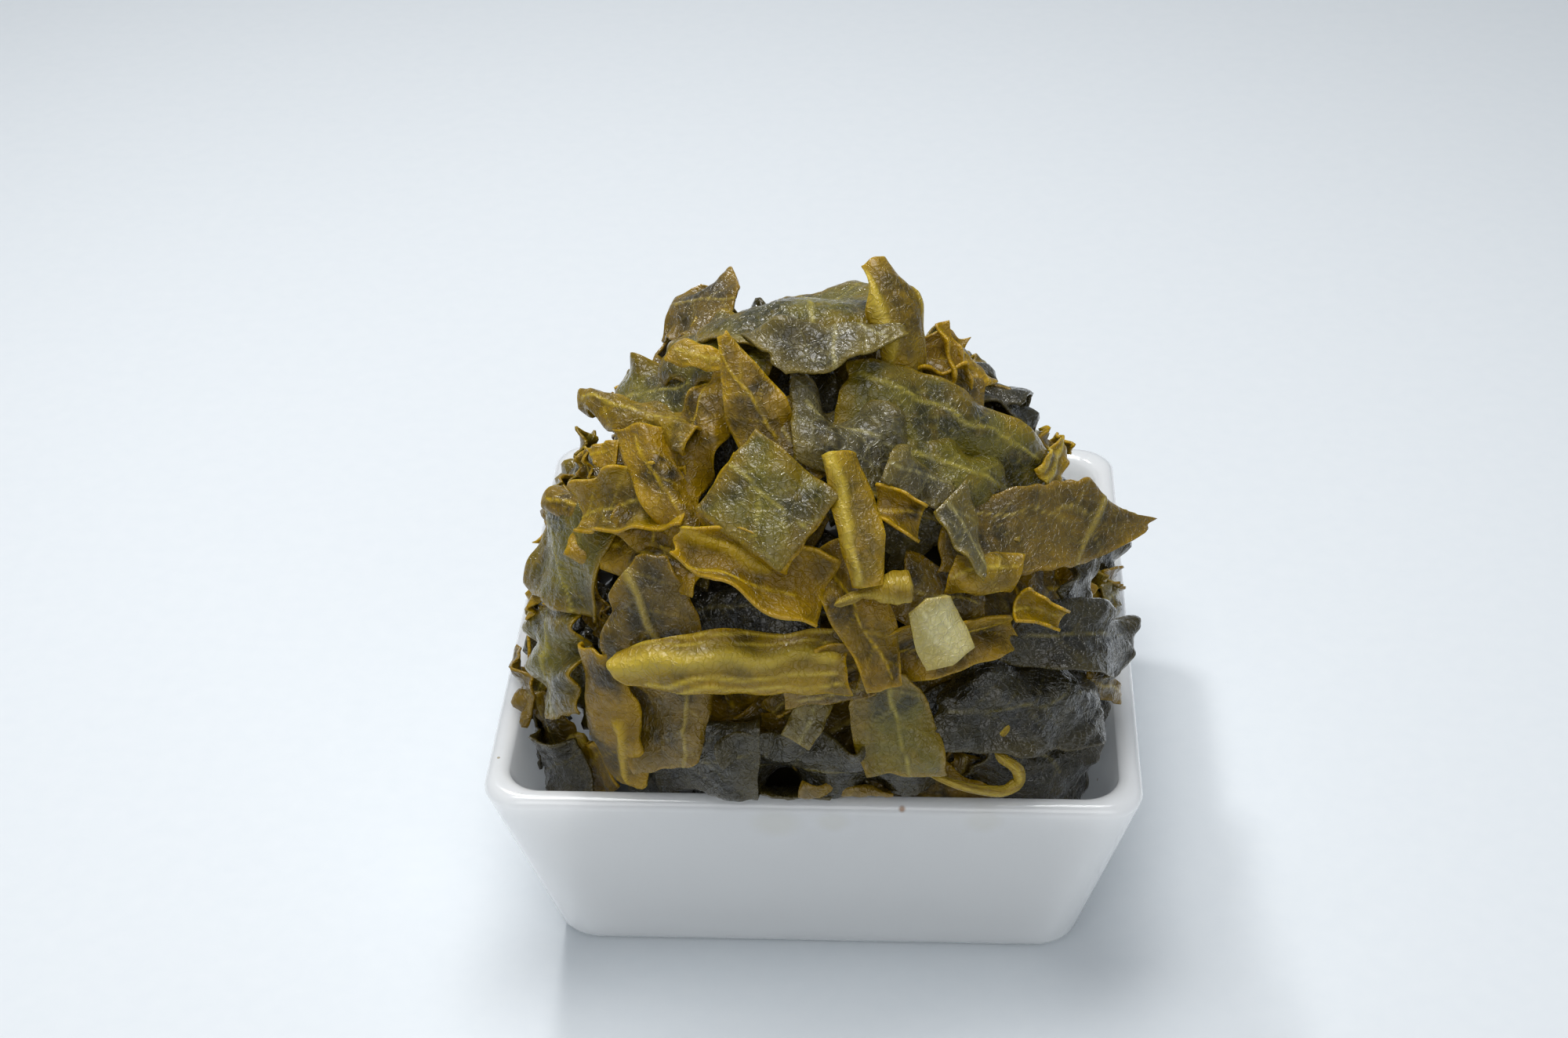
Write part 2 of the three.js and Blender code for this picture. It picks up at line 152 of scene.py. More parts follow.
def leaf_material(name, shade, tint, edge, vein, net=0.1, roughness=0.34, wetness=0.75, glow=0.25):
    made, tree = new_material(name)
    place = add(tree, "ShaderNodeTexCoord").outputs["Object"]
    skin = add(tree, "ShaderNodeUVMap", uv_map="skin").outputs["UV"]
    patches = add(
        tree, "ShaderNodeTexNoise", {"Vector": place, "Scale": 1 / (PATCH_SIZE * MM), "Detail": 5.0},
    )
    patch = add(
        tree, "ShaderNodeMapRange", {"Value": patches.outputs["Fac"], "From Min": 0.4, "From Max": 0.6},
        **EASED,
    )
    bend = add(tree, "ShaderNodeTexNoise", {"Vector": skin, "Scale": 0.5, "Detail": 2.0})
    wander = add(
        tree, "ShaderNodeVectorMath", {0: bend.outputs["Color"], "Scale": 1.6}, operation="SCALE",
    )
    bent = add(tree, "ShaderNodeVectorMath", {0: skin, 1: wander.outputs[0]}, operation="ADD").outputs[0]
    nets = []
    for size in NET_SIZES:
        cells = add(
            tree, "ShaderNodeTexVoronoi", {"Vector": bent, "Scale": 1 / size}, feature="DISTANCE_TO_EDGE",
        )
        near = {"Value": cells.outputs["Distance"], "From Min": 0.1, "From Max": 0.0}
        nets.append(add(tree, "ShaderNodeMapRange", near, **EASED).outputs["Result"])
    main = add(tree, "ShaderNodeAttribute", attribute_name="vein").outputs["Fac"]
    rim = add(tree, "ShaderNodeAttribute", attribute_name="rim").outputs["Fac"]
    mottle = add(tree, "ShaderNodeTexNoise", {"Vector": skin, "Scale": 1 / MOTTLE_SIZE, "Detail": 4.0})
    spots = {"Value": mottle.outputs["Fac"], "From Min": 0.45, "From Max": 0.75}
    spots = add(tree, "ShaderNodeMapRange", spots, **EASED).outputs["Result"]
    colour = linear(shade)
    for pattern, strength, paint in (
        (patch.outputs["Result"], 1.0, tint),
        (spots, 0.35, edge),
        (nets[1], net * 0.5, vein),
        (nets[0], net, vein),
        # edge colour on the rim: partly the cut's own paler colour, partly painted glow of light through the
        # thin edge
        (rim, 1.0, edge),
        (main, 1.0, vein),
    ):
        amount = add(tree, "ShaderNodeMath", {0: pattern, 1: strength}, operation="MULTIPLY").outputs[0]
        layer = {0: amount, 6: colour, 7: linear(paint)}
        colour = add(tree, "ShaderNodeMix", layer, data_type="RGBA").outputs[2]
    grain = add(tree, "ShaderNodeTexNoise", {"Vector": skin, "Scale": 1 / GRAIN_SIZE, "Detail": 3.0})
    wrinkle = add(tree, "ShaderNodeTexNoise", {"Vector": skin, "Scale": 1 / WRINKLE_SIZE, "Detail": 3.0})
    height = 0.0
    for pattern, strength in (
        (nets[0], 0.14),
        (nets[1], 0.16),
        (grain.outputs["Fac"], 0.3),
        (wrinkle.outputs["Fac"], 0.8),
    ):
        part = add(tree, "ShaderNodeMath", {0: pattern, 1: strength}, operation="MULTIPLY").outputs[0]
        total = add(tree, "ShaderNodeMath", {0: height, 1: part}, operation="ADD", use_clamp=True)
        height = total.outputs[0]
    bump = add(tree, "ShaderNodeBump", {"Height": height, "Strength": 0.7, "Distance": BUMP_DEPTH * MM})
    spread = {"From Min": 0.3, "From Max": 0.7, "To Min": roughness - 0.1, "To Max": roughness + 0.12}
    rough = add(tree, "ShaderNodeMapRange", {"Value": grain.outputs["Fac"], **spread})
    shader = add(
        tree,
        "ShaderNodeBsdfPrincipled",
        {
            "Base Color": colour,
            "Roughness": rough.outputs["Result"],
            "Normal": bump.outputs["Normal"],
            "IOR": 1.38,
            "Coat Weight": wetness,
            "Coat Normal": bump.outputs["Normal"],
            "Coat Roughness": 0.05,
            "Coat IOR": 1.4,
            "Subsurface Weight": glow,
            "Subsurface Radius": (1.0, 0.86, 0.1),
            "Subsurface Scale": 1.2 * MM,
        },
    )
    finish_material(tree, shader)
    return made


# The third colour of each finish is its edge colour: it paints the small stains and the rim, where it is
# partly the cut's own colour and partly painted glow of light through the thin leaf.
LEAF_FINISHES = {
    "olive": leaf_material("cooked leaf, olive", "#302d06", "#625a0f", "#917400", "#a3953a", 0.12),
    "grey": leaf_material(
        "cooked leaf, grey", "#332e1b", "#504a2e", "#7f6b12", "#a0955a", 0.18, 0.32, 1.0, 0.15,
    ),
    "mustard": leaf_material(
        "cooked leaf, mustard", "#4c3c00", "#886e00", "#b99200", "#c4ab38", 0.06, 0.38, 0.45, 0.35,
    ),
    "amber": leaf_material(
        "cooked leaf, amber", "#2e2300", "#806200", "#b48e00", "#bc9c10", 0.05, 0.38, 0.4, 0.4,
    ),
    "brown": leaf_material("cooked leaf, brown", "#2c2406", "#5e4b10", "#957400", "#a7923e", 0.08),
    "dark": leaf_material(
        "cooked leaf, dark", "#12110c", "#2b2819", "#4b400e", "#6a602e", 0.06, 0.3, 0.9, 0.1,
    ),
    "pale": leaf_material(
        "cooked midrib, pale", "#a89c5c", "#c9c08a", "#b5a252", "#dcd4a4", 0.04, 0.3, 0.8, 0.5,
    ),
}
RECORD_SLOTS = {tone: "leaf_" + tone for tone in LEAF_FINISHES}
RECORD_SLOTS["pale"] = "stem_pale"
print("leaf finishes:", ", ".join(LEAF_FINISHES))

# %% [markdown]
# ## The heap's skin
# The heap is a rounded-square dome that leans in at the back. Each leaf lies on it, so its own up is the
# dome's up there. The dome's size follows from the frame: the bowl's rim gives its girth, and the top of the
# packed greens gives its rise.

# %% Dome
bowl_low, bowl_high = (np.array(corner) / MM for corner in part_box("bowl"))
packed_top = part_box("packed_greens_3")[1][2] / MM
SKIN_DEPTH = 4.0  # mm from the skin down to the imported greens
HEAP_CENTRE = np.array([0.0, 0.0, 30.0])
HEAP_RADIUS = bowl_high[0] - 3.5
HEAP_RISE = packed_top + SKIN_DEPTH - HEAP_CENTRE[2]
HEAP_SQUARENESS = 2.5
HEAP_BACK_LEAN = 0.7
print(f"heap radius {HEAP_RADIUS:.1f} mm, rise {HEAP_RISE:.1f} mm")


def dome_reach(way, lift):
    depth = 1 - HEAP_BACK_LEAN * max(0, way[2]) if way[1] > 0 else 1
    n = HEAP_SQUARENESS
    across = (abs(way[0]) ** n + abs(way[1] / depth) ** n) ** (2 / n)
    return 1 / math.sqrt(across / (HEAP_RADIUS + lift) ** 2 + way[2] ** 2 / (HEAP_RISE + lift) ** 2)


def dome_point(azimuth, elevation, lift):
    """Azimuth 0 is the front and 90 the right; elevation 90 is straight up; angles in degrees."""
    a, e = math.radians(azimuth), math.radians(elevation)
    way = np.array([math.sin(a) * math.cos(e), -math.cos(a) * math.cos(e), math.sin(e)])
    return HEAP_CENTRE + way * dome_reach(way, lift)


def dome_axes(azimuth, elevation, lift):
    """East runs round the dome, north climbs it, and out leaves it."""
    run = dome_point(azimuth + 0.5, elevation, lift) - dome_point(azimuth - 0.5, elevation, lift)
    climb = dome_point(azimuth, elevation + 0.5, lift) - dome_point(azimuth, elevation - 0.5, lift)
    out = np.cross(run, climb)
    out /= np.linalg.norm(out)
    a = math.radians(azimuth)
    east = np.array([math.cos(a), math.sin(a), 0.0])
    east -= out * (east @ out)
    east /= np.linalg.norm(east)
    return east, np.cross(out, east), out


def over_heap(point):
    """The azimuth and elevation of a point, and how far it stands off the dome."""
    arm = np.asarray(point) - HEAP_CENTRE
    length = np.linalg.norm(arm)
    azimuth = math.degrees(math.atan2(arm[0], -arm[1]))
    return azimuth, math.degrees(math.asin(arm[2] / length)), length - dome_reach(arm / length, 0)


def leaf_axes(azimuth, elevation, lift, tilt, spin):
    """A leaf's own axes as columns: along it, across it and out of it."""
    east, north, out = dome_axes(azimuth, elevation, lift)
    normal = out + north * math.tan(math.radians(tilt[0])) + east * math.tan(math.radians(tilt[1]))
    normal /= np.linalg.norm(normal)
    level = east - normal * (east @ normal)
    level /= np.linalg.norm(level)
    turn = math.radians(spin)
    along = level * math.cos(turn) + np.cross(normal, level) * math.sin(turn)
    return np.column_stack([along, np.cross(normal, along), normal])


# %% [markdown]
# ## A limp leaf piece
# A leaf is a flat sheet before it is cooked, and it bends more easily than it stretches. So each piece
# starts as a flat grid, cut to its outline, and is then bent: the angle of the sheet is chosen at each point
# and added up along it, which keeps the sheet's width true, as paper does. Main veins stand up as ridges,
# the skin between them puffs up a little, and the free edges ruffle.

# %% Waves and veins


def waves(x, y, size, rng, count=5):
    """Smooth random waves of about that size over a sheet, from -1 to 1."""
    total = np.zeros(np.broadcast(x, y).shape)
    for _ in range(count):
        heading = rng.uniform(0, 2 * math.pi)
        pitch = 2 * math.pi / (size * rng.uniform(0.7, 1.6))
        total += np.sin(pitch * (x * math.cos(heading) + y * math.sin(heading)) + rng.uniform(0, 6.3))
    return total / count * 1.4


def gap_to_line(x, y, start, end):
    run = np.subtract(end, start)
    length = max(1e-6, float(run @ run))
    share = np.clip(((x - start[0]) * run[0] + (y - start[1]) * run[1]) / length, 0, 1)
    return np.hypot(x - start[0] - share * run[0], y - start[1] - share * run[1]), share


def vein_lines(leaf, rng):
    """Main veins as given, and side veins off each at a steep angle: (start, end, half width, is main)."""
    length, start_width, end_width = leaf["size"]
    half = np.array([length / 2, max(start_width, end_width) / 2])
    lines = []
    for u0, v0, u1, v1, width in leaf["veins"]:
        start, end = np.array([u0, v0]) * half, np.array([u1, v1]) * half
        lines.append((start, end, width / 2, True))
        run = end - start
        heading = math.atan2(run[1], run[0])
        at = rng.uniform(1.5, 4)
        side = 1
        while at < np.linalg.norm(run) - 1 and leaf["side_veins"]:
            root = start + run * (at / np.linalg.norm(run))
            angle = heading + side * math.radians(rng.uniform(42, 60))
            reach = rng.uniform(7, 12)
            tip = root + reach * np.array([math.cos(angle), math.sin(angle)])
            lines.append((root, tip, 0.2, False))
            at += rng.uniform(2, 4.2)
            side = -side
    return lines


# %% Bend a sheet


def add_up(slope, step, axis):
    """Sums slope * step along an axis from its middle, so that the middle stays at zero."""
    middle = 0.5 * (slope + np.roll(slope, 1, axis))
    middle = np.where(np.indices(slope.shape)[axis] == 0, 0, middle)
    total = np.cumsum(middle * step, axis)
    return total - np.take(total, [total.shape[axis] // 2], axis)


def bend_sheet(leaf, u, v, rng):
    """Points of the leaf about its own middle, its flat coordinates, and its vein and rim marks."""
    length, start_width, end_width = leaf["size"]
    arch, curl, twist = (math.radians(a) for a in leaf["bend"])
    half = 0.5 * (start_width + (end_width - start_width) * (u + 1) / 2)
    stops = np.linspace(-1, 1, len(leaf["upper"]))
    upper = np.interp(u, stops, leaf["upper"])
    stops = np.linspace(-1, 1, len(leaf["lower"]))
    lower = np.interp(u, stops, leaf["lower"])
    torn = leaf["torn"]
    edge = np.where(v > 0, upper, lower) * (1 + torn * waves(u * length / 2, np.sign(v) * 40, 6, rng))
    across = v * half * edge
    start, end = (np.interp(v, np.linspace(-1, 1, len(ends)), ends) for ends in leaf["ends"])
    reach = np.where(u < 0, start, end) * (1 + torn * 0.7 * waves(v * half, np.sign(u) * 40, 5, rng))
    along = u * length / 2 * reach + leaf["skew"] * across
    rolls = leaf["roll"]
    turn_across = curl * v / 2
    turn_across = turn_across + math.radians(rolls[1]) * np.clip((v - 0.55) / 0.45, 0, 1) ** 1.5
    turn_across = turn_across - math.radians(rolls[0]) * np.clip((-v - 0.55) / 0.45, 0, 1) ** 1.5
    turn_across = -turn_across + leaf["crumple"] * 0.55 * waves(along, across, 13, rng)
    turn_along = -arch * u / 2 + leaf["crumple"] * 0.4 * waves(along, across, 16, rng)
    turn_along = turn_along - math.radians(leaf["tip"]) * np.clip((u - 0.4) / 0.6, 0, 1) ** 1.5
    for at, angle in leaf["folds"]:
        turn_across = turn_across - math.radians(angle) * np.clip((v - at) / 0.12 + 0.5, 0, 1)
    step_across = np.abs(np.diff(across, axis=1, prepend=across[:, :1]))
    step_along = np.abs(np.diff(along, axis=0, prepend=along[:1]))
    y = add_up(np.cos(turn_across), step_across, 1)
    z = add_up(np.sin(turn_across), step_across, 1)
    height, width_waves = leaf["ruffle"]
    sway = np.sin(math.pi * width_waves * u + 2.0 * np.sign(v) + rng.uniform(0, 6)) * np.abs(v) ** 1.6
    z = z + height * sway
    vein = np.zeros(z.shape)
    puff = np.ones(z.shape)
    ridge = np.zeros(z.shape)
    stray = 0.7 * waves(along, across, 8, rng)
    for start, end, half_width, main in vein_lines(leaf, rng):
        gap, share = gap_to_line(along + stray, across + stray, start, end)
        slim = half_width * (1 - 0.5 * share)
        near = np.exp(-((gap / slim) ** 2))
        vein = np.maximum(vein, near * (0.85 if main else 0.42 * (1 - 0.6 * share)))
        ridge = np.maximum(ridge, near * slim * (0.9 if main else 0.5))
        puff = np.minimum(puff, 1 - np.exp(-((gap / (1.4 + half_width)) ** 2)))
    skin = 0.34 * puff * (1 + waves(along, across, 4.5, rng)) + 0.15 * waves(along, across, 2.2, rng)
    z = z + ridge + leaf["crumple"] * skin
    y, z = (
        y * np.cos(twist * u / 2) - z * np.sin(twist * u / 2),
        y * np.sin(twist * u / 2) + z * np.cos(twist * u / 2),
    )
    spine = np.take(turn_along, [turn_along.shape[1] // 2], 1)
    spine_step = np.take(step_along, [step_along.shape[1] // 2], 1)
    base_x = add_up(np.cos(spine), spine_step, 0)
    base_z = add_up(np.sin(spine), spine_step, 0)
    off = along - np.take(along, [along.shape[1] // 2], 1)
    x = base_x + off * np.cos(spine) - z * np.sin(spine)
    z = base_z + off * np.sin(spine) + z * np.cos(spine)
    # The rim mark, strong at the cut and in a broken band a few millimetres wide, takes the edge colour:
    # partly the cut's own paler tissue, partly painted glow of light through the thin edge.
    inset = np.minimum((1 - np.abs(v)) * half * np.abs(edge), (1 - np.abs(u)) * length / 2)
    sharp = np.exp(-((inset / leaf["rim"]) ** 2))
    broad = np.exp(-((inset / 3.2) ** 2)) * np.clip(0.5 + 0.7 * waves(along, across, 11, rng), 0, 1)
    rim = np.maximum(sharp * (0.75 + 0.25 * waves(along, across, 7, rng)), 0.6 * broad)
    return np.stack([x, y, z], -1), along, across, np.clip(vein, 0, 1), np.clip(rim, 0, 1)


# %% [markdown]
# ## Making a leaf piece as a mesh
# The grid comes from Blender's own grid operator, and each of its corners moves to its place on the bent
# sheet. A UV map holds the flat leaf in millimetres, so that the fine veins follow the sheet through its
# bends. A Solidify modifier then gives the sheet the half millimetre of a cooked leaf.

# %% Leaf mesh
LEAF_DEFAULTS = {
    "tilt": (0, 0),
    "spin": 0,
    "skew": 0,
    "bend": None,
    "upper": (0.9, 1.0, 0.9),
    "lower": (0.9, 1.0, 0.9),
    "torn": 0.05,
    "ends": ((1, 1), (1, 1)),
    "folds": (),
    "roll": (0, 0),
    "tip": 0,
    "ruffle": (0.5, 2.5),
    "crumple": 0.6,
    "veins": ((-0.9, -0.2, 0.9, 0.25, 0.5),),
    "side_veins": True,
    "rim": 0.55,
    "thickness": 0.5,
    "nudge": (0, 0, 0),
    "cell": 0.55,
}
HUG_RADIUS = 55.0
GROW = 1.22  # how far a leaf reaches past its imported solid, which stops short of its neighbours


def leaf_recipe(size, **choices):
    recipe = {**LEAF_DEFAULTS, **choices, "size": size}
    if recipe["bend"] is None:
        hug = math.degrees(1 / HUG_RADIUS)
        recipe["bend"] = (hug * size[0], hug * max(size[1:]), 0)
    return recipe


def sheet_object(name, recipe, finish, place):
    """place turns an array of points about the leaf's own middle into points on the heap, in millimetres."""
    rng = np.random.default_rng(sum(map(ord, name)) * 7 + len(name))
    length, start_width, end_width = recipe["size"]
    cells_u = int(min(60, max(10, length / recipe["cell"]))) // 2 * 2
    cells_v = int(min(50, max(8, max(start_width, end_width) / recipe["cell"]))) // 2 * 2
    u = np.linspace(-1, 1, cells_u + 1)[:, None] * np.ones((1, cells_v + 1))
    v = np.linspace(-1, 1, cells_v + 1)[None, :] * np.ones((cells_u + 1, 1))
    points, along, across, vein, rim = bend_sheet(recipe, u, v, rng)
    points = place(points.reshape(-1, 3)).reshape(points.shape)
    bm = bmesh.new()
    bmesh.ops.create_grid(bm, x_segments=cells_u, y_segments=cells_v, size=1)
    vein_layer = bm.verts.layers.float.new("vein")
    rim_layer = bm.verts.layers.float.new("rim")
    skin_layer = bm.loops.layers.uv.new("skin")
    flat = {}
    shift = rng.uniform(0, 90, 2)
    for vert in bm.verts:
        i = round((vert.co.x + 1) / 2 * cells_u)
        j = round((vert.co.y + 1) / 2 * cells_v)
        vert.co = Vector(points[i, j]) * MM
        vert[vein_layer] = vein[i, j]
        vert[rim_layer] = rim[i, j]
        flat[vert] = (along[i, j] + shift[0], across[i, j] + shift[1])
    for face in bm.faces:
        face.smooth = True
        for loop in face.loops:
            loop[skin_layer].uv = flat[loop.vert]
    mesh = bpy.data.meshes.new(name)
    bm.to_mesh(mesh)
    bm.free()
    mesh.materials.append(finish)
    piece = bpy.data.objects.new(name, mesh)
    bpy.context.scene.collection.objects.link(piece)
    wall = piece.modifiers.new("thickness", "SOLIDIFY")
    wall.thickness = recipe["thickness"] * MM
    wall.offset = 0
    return piece


laid = []  # names of the leaf and midrib pieces, in the order they were made


def settle(piece, node):
    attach(piece, "root")
    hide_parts(node)
    laid.append(piece.name)


WELL_HALF = 41.5  # mm, half the room inside the bowl at its floor
MOUTH_HALF = bowl_high[0] - 4.4  # and at its rim
CORNER_POWER = 12  # how square the room is


def kept_in_bowl(points, spare=0.0):
    """Below the rim a leaf lies against the inside of the wall, not through it."""
    kept = points.copy()
    kept[:, 2] = np.maximum(kept[:, 2], 6)
    room = WELL_HALF + (MOUTH_HALF - WELL_HALF) * np.clip(kept[:, 2] / bowl_high[2], 0, 1) - spare
    room = room + np.clip((kept[:, 2] - bowl_high[2] - 0.5) * 3, 0, 60)
    span = (np.abs(kept[:, :2]) ** CORNER_POWER).sum(1) ** (1 / CORNER_POWER)
    kept[:, :2] *= np.minimum(1, room / np.maximum(span, 1e-6))[:, None]
    return kept


def lay_leaf(node, tone, size, grow=GROW, **choices):
    """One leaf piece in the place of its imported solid; grow is for its length, and its widths take GROW."""
    length, start_width, end_width = size
    recipe = leaf_recipe((length * grow, start_width * GROW, end_width * GROW), **choices)
    low, high = (np.array(corner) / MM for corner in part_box(node))
    middle = (low + high) / 2
    azimuth, elevation, lift = over_heap(middle)
    axes = leaf_axes(azimuth, elevation, lift, recipe["tilt"], recipe["spin"])

    def place(points):
        turned = points @ axes.T
        centred = turned - (turned.min(0) + turned.max(0)) / 2
        return kept_in_bowl(centred + middle + axes @ np.array(recipe["nudge"]))

    piece = sheet_object(node + "_skin", recipe, LEAF_FINISHES[tone], place)
    settle(piece, node)
    return piece


def lay_under(node, tone, size, **choices):
    """A second fold of the same leaf, which shows along its edge."""
    piece = lay_leaf(node, tone, size, **choices)
    piece.name = node + "_fold"


def lay_at(name, node, tone, spot, recipe):
    """A piece laid on the dome; spot is its azimuth, elevation and lift."""
    axes = leaf_axes(*spot, recipe["tilt"], recipe["spin"])
    middle = dome_point(*spot)

    def place(points):
        return kept_in_bowl(points @ axes.T + middle)

    piece = sheet_object(name, recipe, LEAF_FINISHES[tone], place)
    settle(piece, node)


def lay_extra(name, node, tone, size, spot, **choices):
    """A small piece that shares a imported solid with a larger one."""
    lay_at(name, node, tone, spot, leaf_recipe(size, **choices))


# %% [markdown]
# ## The leaf pieces that show
# Each piece has its tone, its size along and across, the way it lies, and what sets it apart: its outline,
# its veins, how it rolls or ruffles. Crown first, then down the front, then the left flank and the low edge.

# %% The crown
lay_leaf(
    "crown_leaf", "olive", (33, 14, 22), tilt=(28, -5), spin=14, grow=1.1, upper=(0.6, 0.9, 1, 1),
    ends=((0.6, 1), (1, 1)), roll=(60, 0), ruffle=(0.8, 2),
    veins=((0.1, -1, 0.3, 0.9, 0.8), (0.2, 0, 0.9, 0.8, 0.5)), rim=0.9, nudge=(-3, 2, 1),
)
lay_leaf(
    "crown_rib_leaf", "mustard", (26, 11, 10), tilt=(-35, 5), spin=-98, grow=1.0, bend=(50, 140, 0),
    upper=(0.5, 1, 0.9, 0.8), lower=(0.4, 1, 1, 0.8),
    veins=((-1, -0.7, 1, -0.6, 2.6), (-1, 0.8, 1, 0.6, 1.6)), side_veins=False, crumple=0.5,
    thickness=0.7, nudge=(5, 0, 1.5),
)
lay_leaf(
    "crown_left_flap", "olive", (19, 18, 13), tilt=(10, -10), spin=25, lower=(0.7, 1, 1, 0.8),
    ruffle=(1.2, 3), roll=(70, 0), rim=1.1, crumple=0.8,
)
lay_leaf(
    "peak_left_leaf", "brown", (14, 16, 13), tilt=(0, 5), spin=35, upper=(0.5, 1, 0.6),
    ends=((0.7, 1, 0.7), (0.8, 1, 0.8)), ruffle=(1.0, 2), rim=0.9, nudge=(-3, 3, 0),
)
lay_leaf(
    "grey_top_leaf", "grey", (20, 11, 6), tilt=(5, 5), spin=8, skew=-0.5, upper=(0.9, 1, 0.9, 0.4),
    lower=(0.8, 1, 0.8, 0.3), veins=((-0.1, -1, 0.1, 0.9, 0.7), (0.1, 0.9, 0.8, -0.3, 0.4)), rim=0.8,
    roll=(0, 60), crumple=0.9, nudge=(0, 0, 3),
)
lay_leaf(
    "shoulder_leaf", "olive", (34, 15, 14), tilt=(-5, 0), spin=-42, upper=(0.8, 1, 1, 0.9, 0.7),
    lower=(0.7, 1, 1, 1, 0.8), veins=((-0.9, 0.5, 0.95, 0.2, 0.8),), folds=((0.35, 25), (-0.5, -20)),
    crumple=0.7, nudge=(0, 0, 1),
)
lay_leaf(
    "shoulder_under_leaf", "olive", (26, 13, 13), tilt=(5, 5), spin=-44, ruffle=(1, 3),
    veins=((-0.9, 0, 0.95, 0.3, 0.8),), folds=((0.3, 30),), crumple=0.9,
)
lay_leaf(
    "amber_spike", "amber", (20, 12, 3), tilt=(-15, 10), spin=125, grow=1.05, bend=(15, 70, 0),
    upper=(0.7, 1, 0.9, 0.6), lower=(0.7, 1, 0.9, 0.4), crumple=0.4, nudge=(0, 0, 2.5), rim=0.7,
)
lay_leaf(
    "blistered_leaf", "grey", (21, 15, 15), spin=-30, tilt=(0, 5), skew=-0.5, crumple=1.4,
    veins=((-0.9, 0.4, 0.9, 0.0, 0.7),), folds=((-0.4, 25),), rim=0.7,
)
lay_leaf(
    "right_top_cup", "amber", (11, 8, 11), tilt=(10, 0), spin=-35, bend=(20, -130, 0), ruffle=(1, 2),
    skew=0.4,
)
lay_leaf("right_top_leaf", "brown", (15, 10, 10), spin=-50, skew=-0.4, ruffle=(1, 2), roll=(50, 50))
print("pieces laid so far:", len(laid))

# %% The middle of the front
MIDRIB_FIBRES = (  # the thick midrib first, then the ridges beside it
    (-1, 0.1, 0.9, 0.15, 4.0),
    (-0.7, -0.5, 0.9, -0.35, 0.8),
    (-0.6, -0.78, 0.95, -0.7, 0.8),
    (-0.8, 0.6, 0.9, 0.5, 0.7),
    (-0.6, 0.85, 0.9, 0.78, 0.6),
)
lay_leaf(
    "square_leaf", "olive", (17, 14, 13.5), tilt=(10, -5), spin=-32, grow=1.1, bend=(14, 10, 0),
    upper=(1, 1, 1), lower=(1, 1, 0.95), torn=0.02, ruffle=(0.4, 2), crumple=0.7,
    veins=((-0.95, 0.1, 0.95, 0.05, 0.6), (-0.2, 0.1, 0.5, -0.95, 0.4)), rim=0.6, nudge=(1.5, 1, 2.5),
)
lay_under(
    "square_leaf", "mustard", (17, 13, 12), tilt=(12, -5), spin=-28, grow=1.12, bend=(14, 30, 0),
    roll=(120, 0), ruffle=(0.8, 3), crumple=0.5, veins=(), rim=1.2, nudge=(1.5, -1.5, 0.5),
)
lay_leaf(
    "rib_strip", "mustard", (21, 6, 6), tilt=(10, 5), spin=-82, grow=1.1, bend=(25, 60, 15),
    upper=(0.8, 1, 1.1, 0.5), veins=((-1, -0.5, 0.95, -0.5, 2.2),), side_veins=False, crumple=0.5,
    nudge=(0, 0, 2),
)
lay_leaf(
    "stem_slice", "pale", (12, 7, 8), tilt=(5, 10), spin=-78, grow=1.0, bend=(5, 20, 0),
    upper=(0.9, 1, 1, 0.9), ends=((0.8, 1, 0.8), (0.85, 1, 0.8)), torn=0.02, crumple=0.5,
    veins=((-0.9, -0.3, 0.9, -0.2, 0.4), (-0.9, 0.3, 0.9, 0.4, 0.4)), side_veins=False, ruffle=(0, 1),
    thickness=1.4, nudge=(0, 0, 2),
)
lay_leaf(
    "hanging_leaf", "grey", (12, 8, 3), tilt=(15, 10), spin=-85, skew=-0.4, upper=(0.8, 1, 0.4),
    lower=(0.8, 1, 0.4), nudge=(0, 0, 1.5),
)
lay_leaf(
    "right_wing_leaf", "brown", (39, 12, 13), tilt=(10, -10), spin=-24, grow=1.12, skew=0.25,
    upper=(0.7, 0.9, 1, 1.0, 0.3), lower=(0.8, 1, 1, 0.8, 0.3), ends=((1, 1), (0.9, 1, 0.6)),
    bend=(20, 10, 0), crumple=0.5, veins=((0.65, 1, 0.1, -1, 1.2), (-0.9, 0.4, 0.4, 0.3, 0.4)), rim=1.0,
    nudge=(1, -1, 2),
)
lay_leaf(
    "pale_fold_leaf", "mustard", (11, 8, 7), tilt=(15, 0), spin=-20, grow=1.1, skew=0.3,
    upper=(0.7, 1, 0.8), ruffle=(0.8, 2), bend=(20, 120, 0), nudge=(0, 0, 1),
)
lay_leaf(
    "boat_leaf", "amber", (25, 9, 13), tilt=(15, 10), spin=-14, grow=1.05, bend=(15, -120, 0),
    upper=(0.5, 1, 1, 0.9), lower=(0.5, 1, 1, 0.9), crumple=0.5,
    veins=((-0.95, 0.3, 0.2, 0.1, 3.0), (-0.9, -0.5, 0.6, -0.3, 0.8)), side_veins=False, rim=0.8,
    nudge=(0, 0, 3),
)
lay_leaf(
    "boat_tail_leaf", "amber", (22, 12, 11), tilt=(10, 10), spin=-72, upper=(0.9, 0.8, 0.9, 0.5),
    lower=(0.9, 0.8, 0.6, 0.4), ruffle=(1.2, 2), crumple=0.9, folds=((0.2, 50), (-0.4, -40)),
    nudge=(0, 0, 2),
)
lay_leaf("olive_back_leaf", "brown", (14, 12, 8), tilt=(0, 5), spin=-35, folds=((0.1, 40),))
lay_leaf(
    "front_stem_leaf", "mustard", (39, 9, 10), tilt=(20, 0), spin=9, grow=1.05, bend=(20, 40, 0),
    upper=(0.55, 0.9, 1, 0.9, 0.9), lower=(0.6, 0.9, 1, 1, 1), ends=((0.9, 1, 0.97), (1, 1)),
    veins=MIDRIB_FIBRES, side_veins=False, crumple=0.8, torn=0.05, nudge=(0, 0, 2), roll=(50, 0),
)
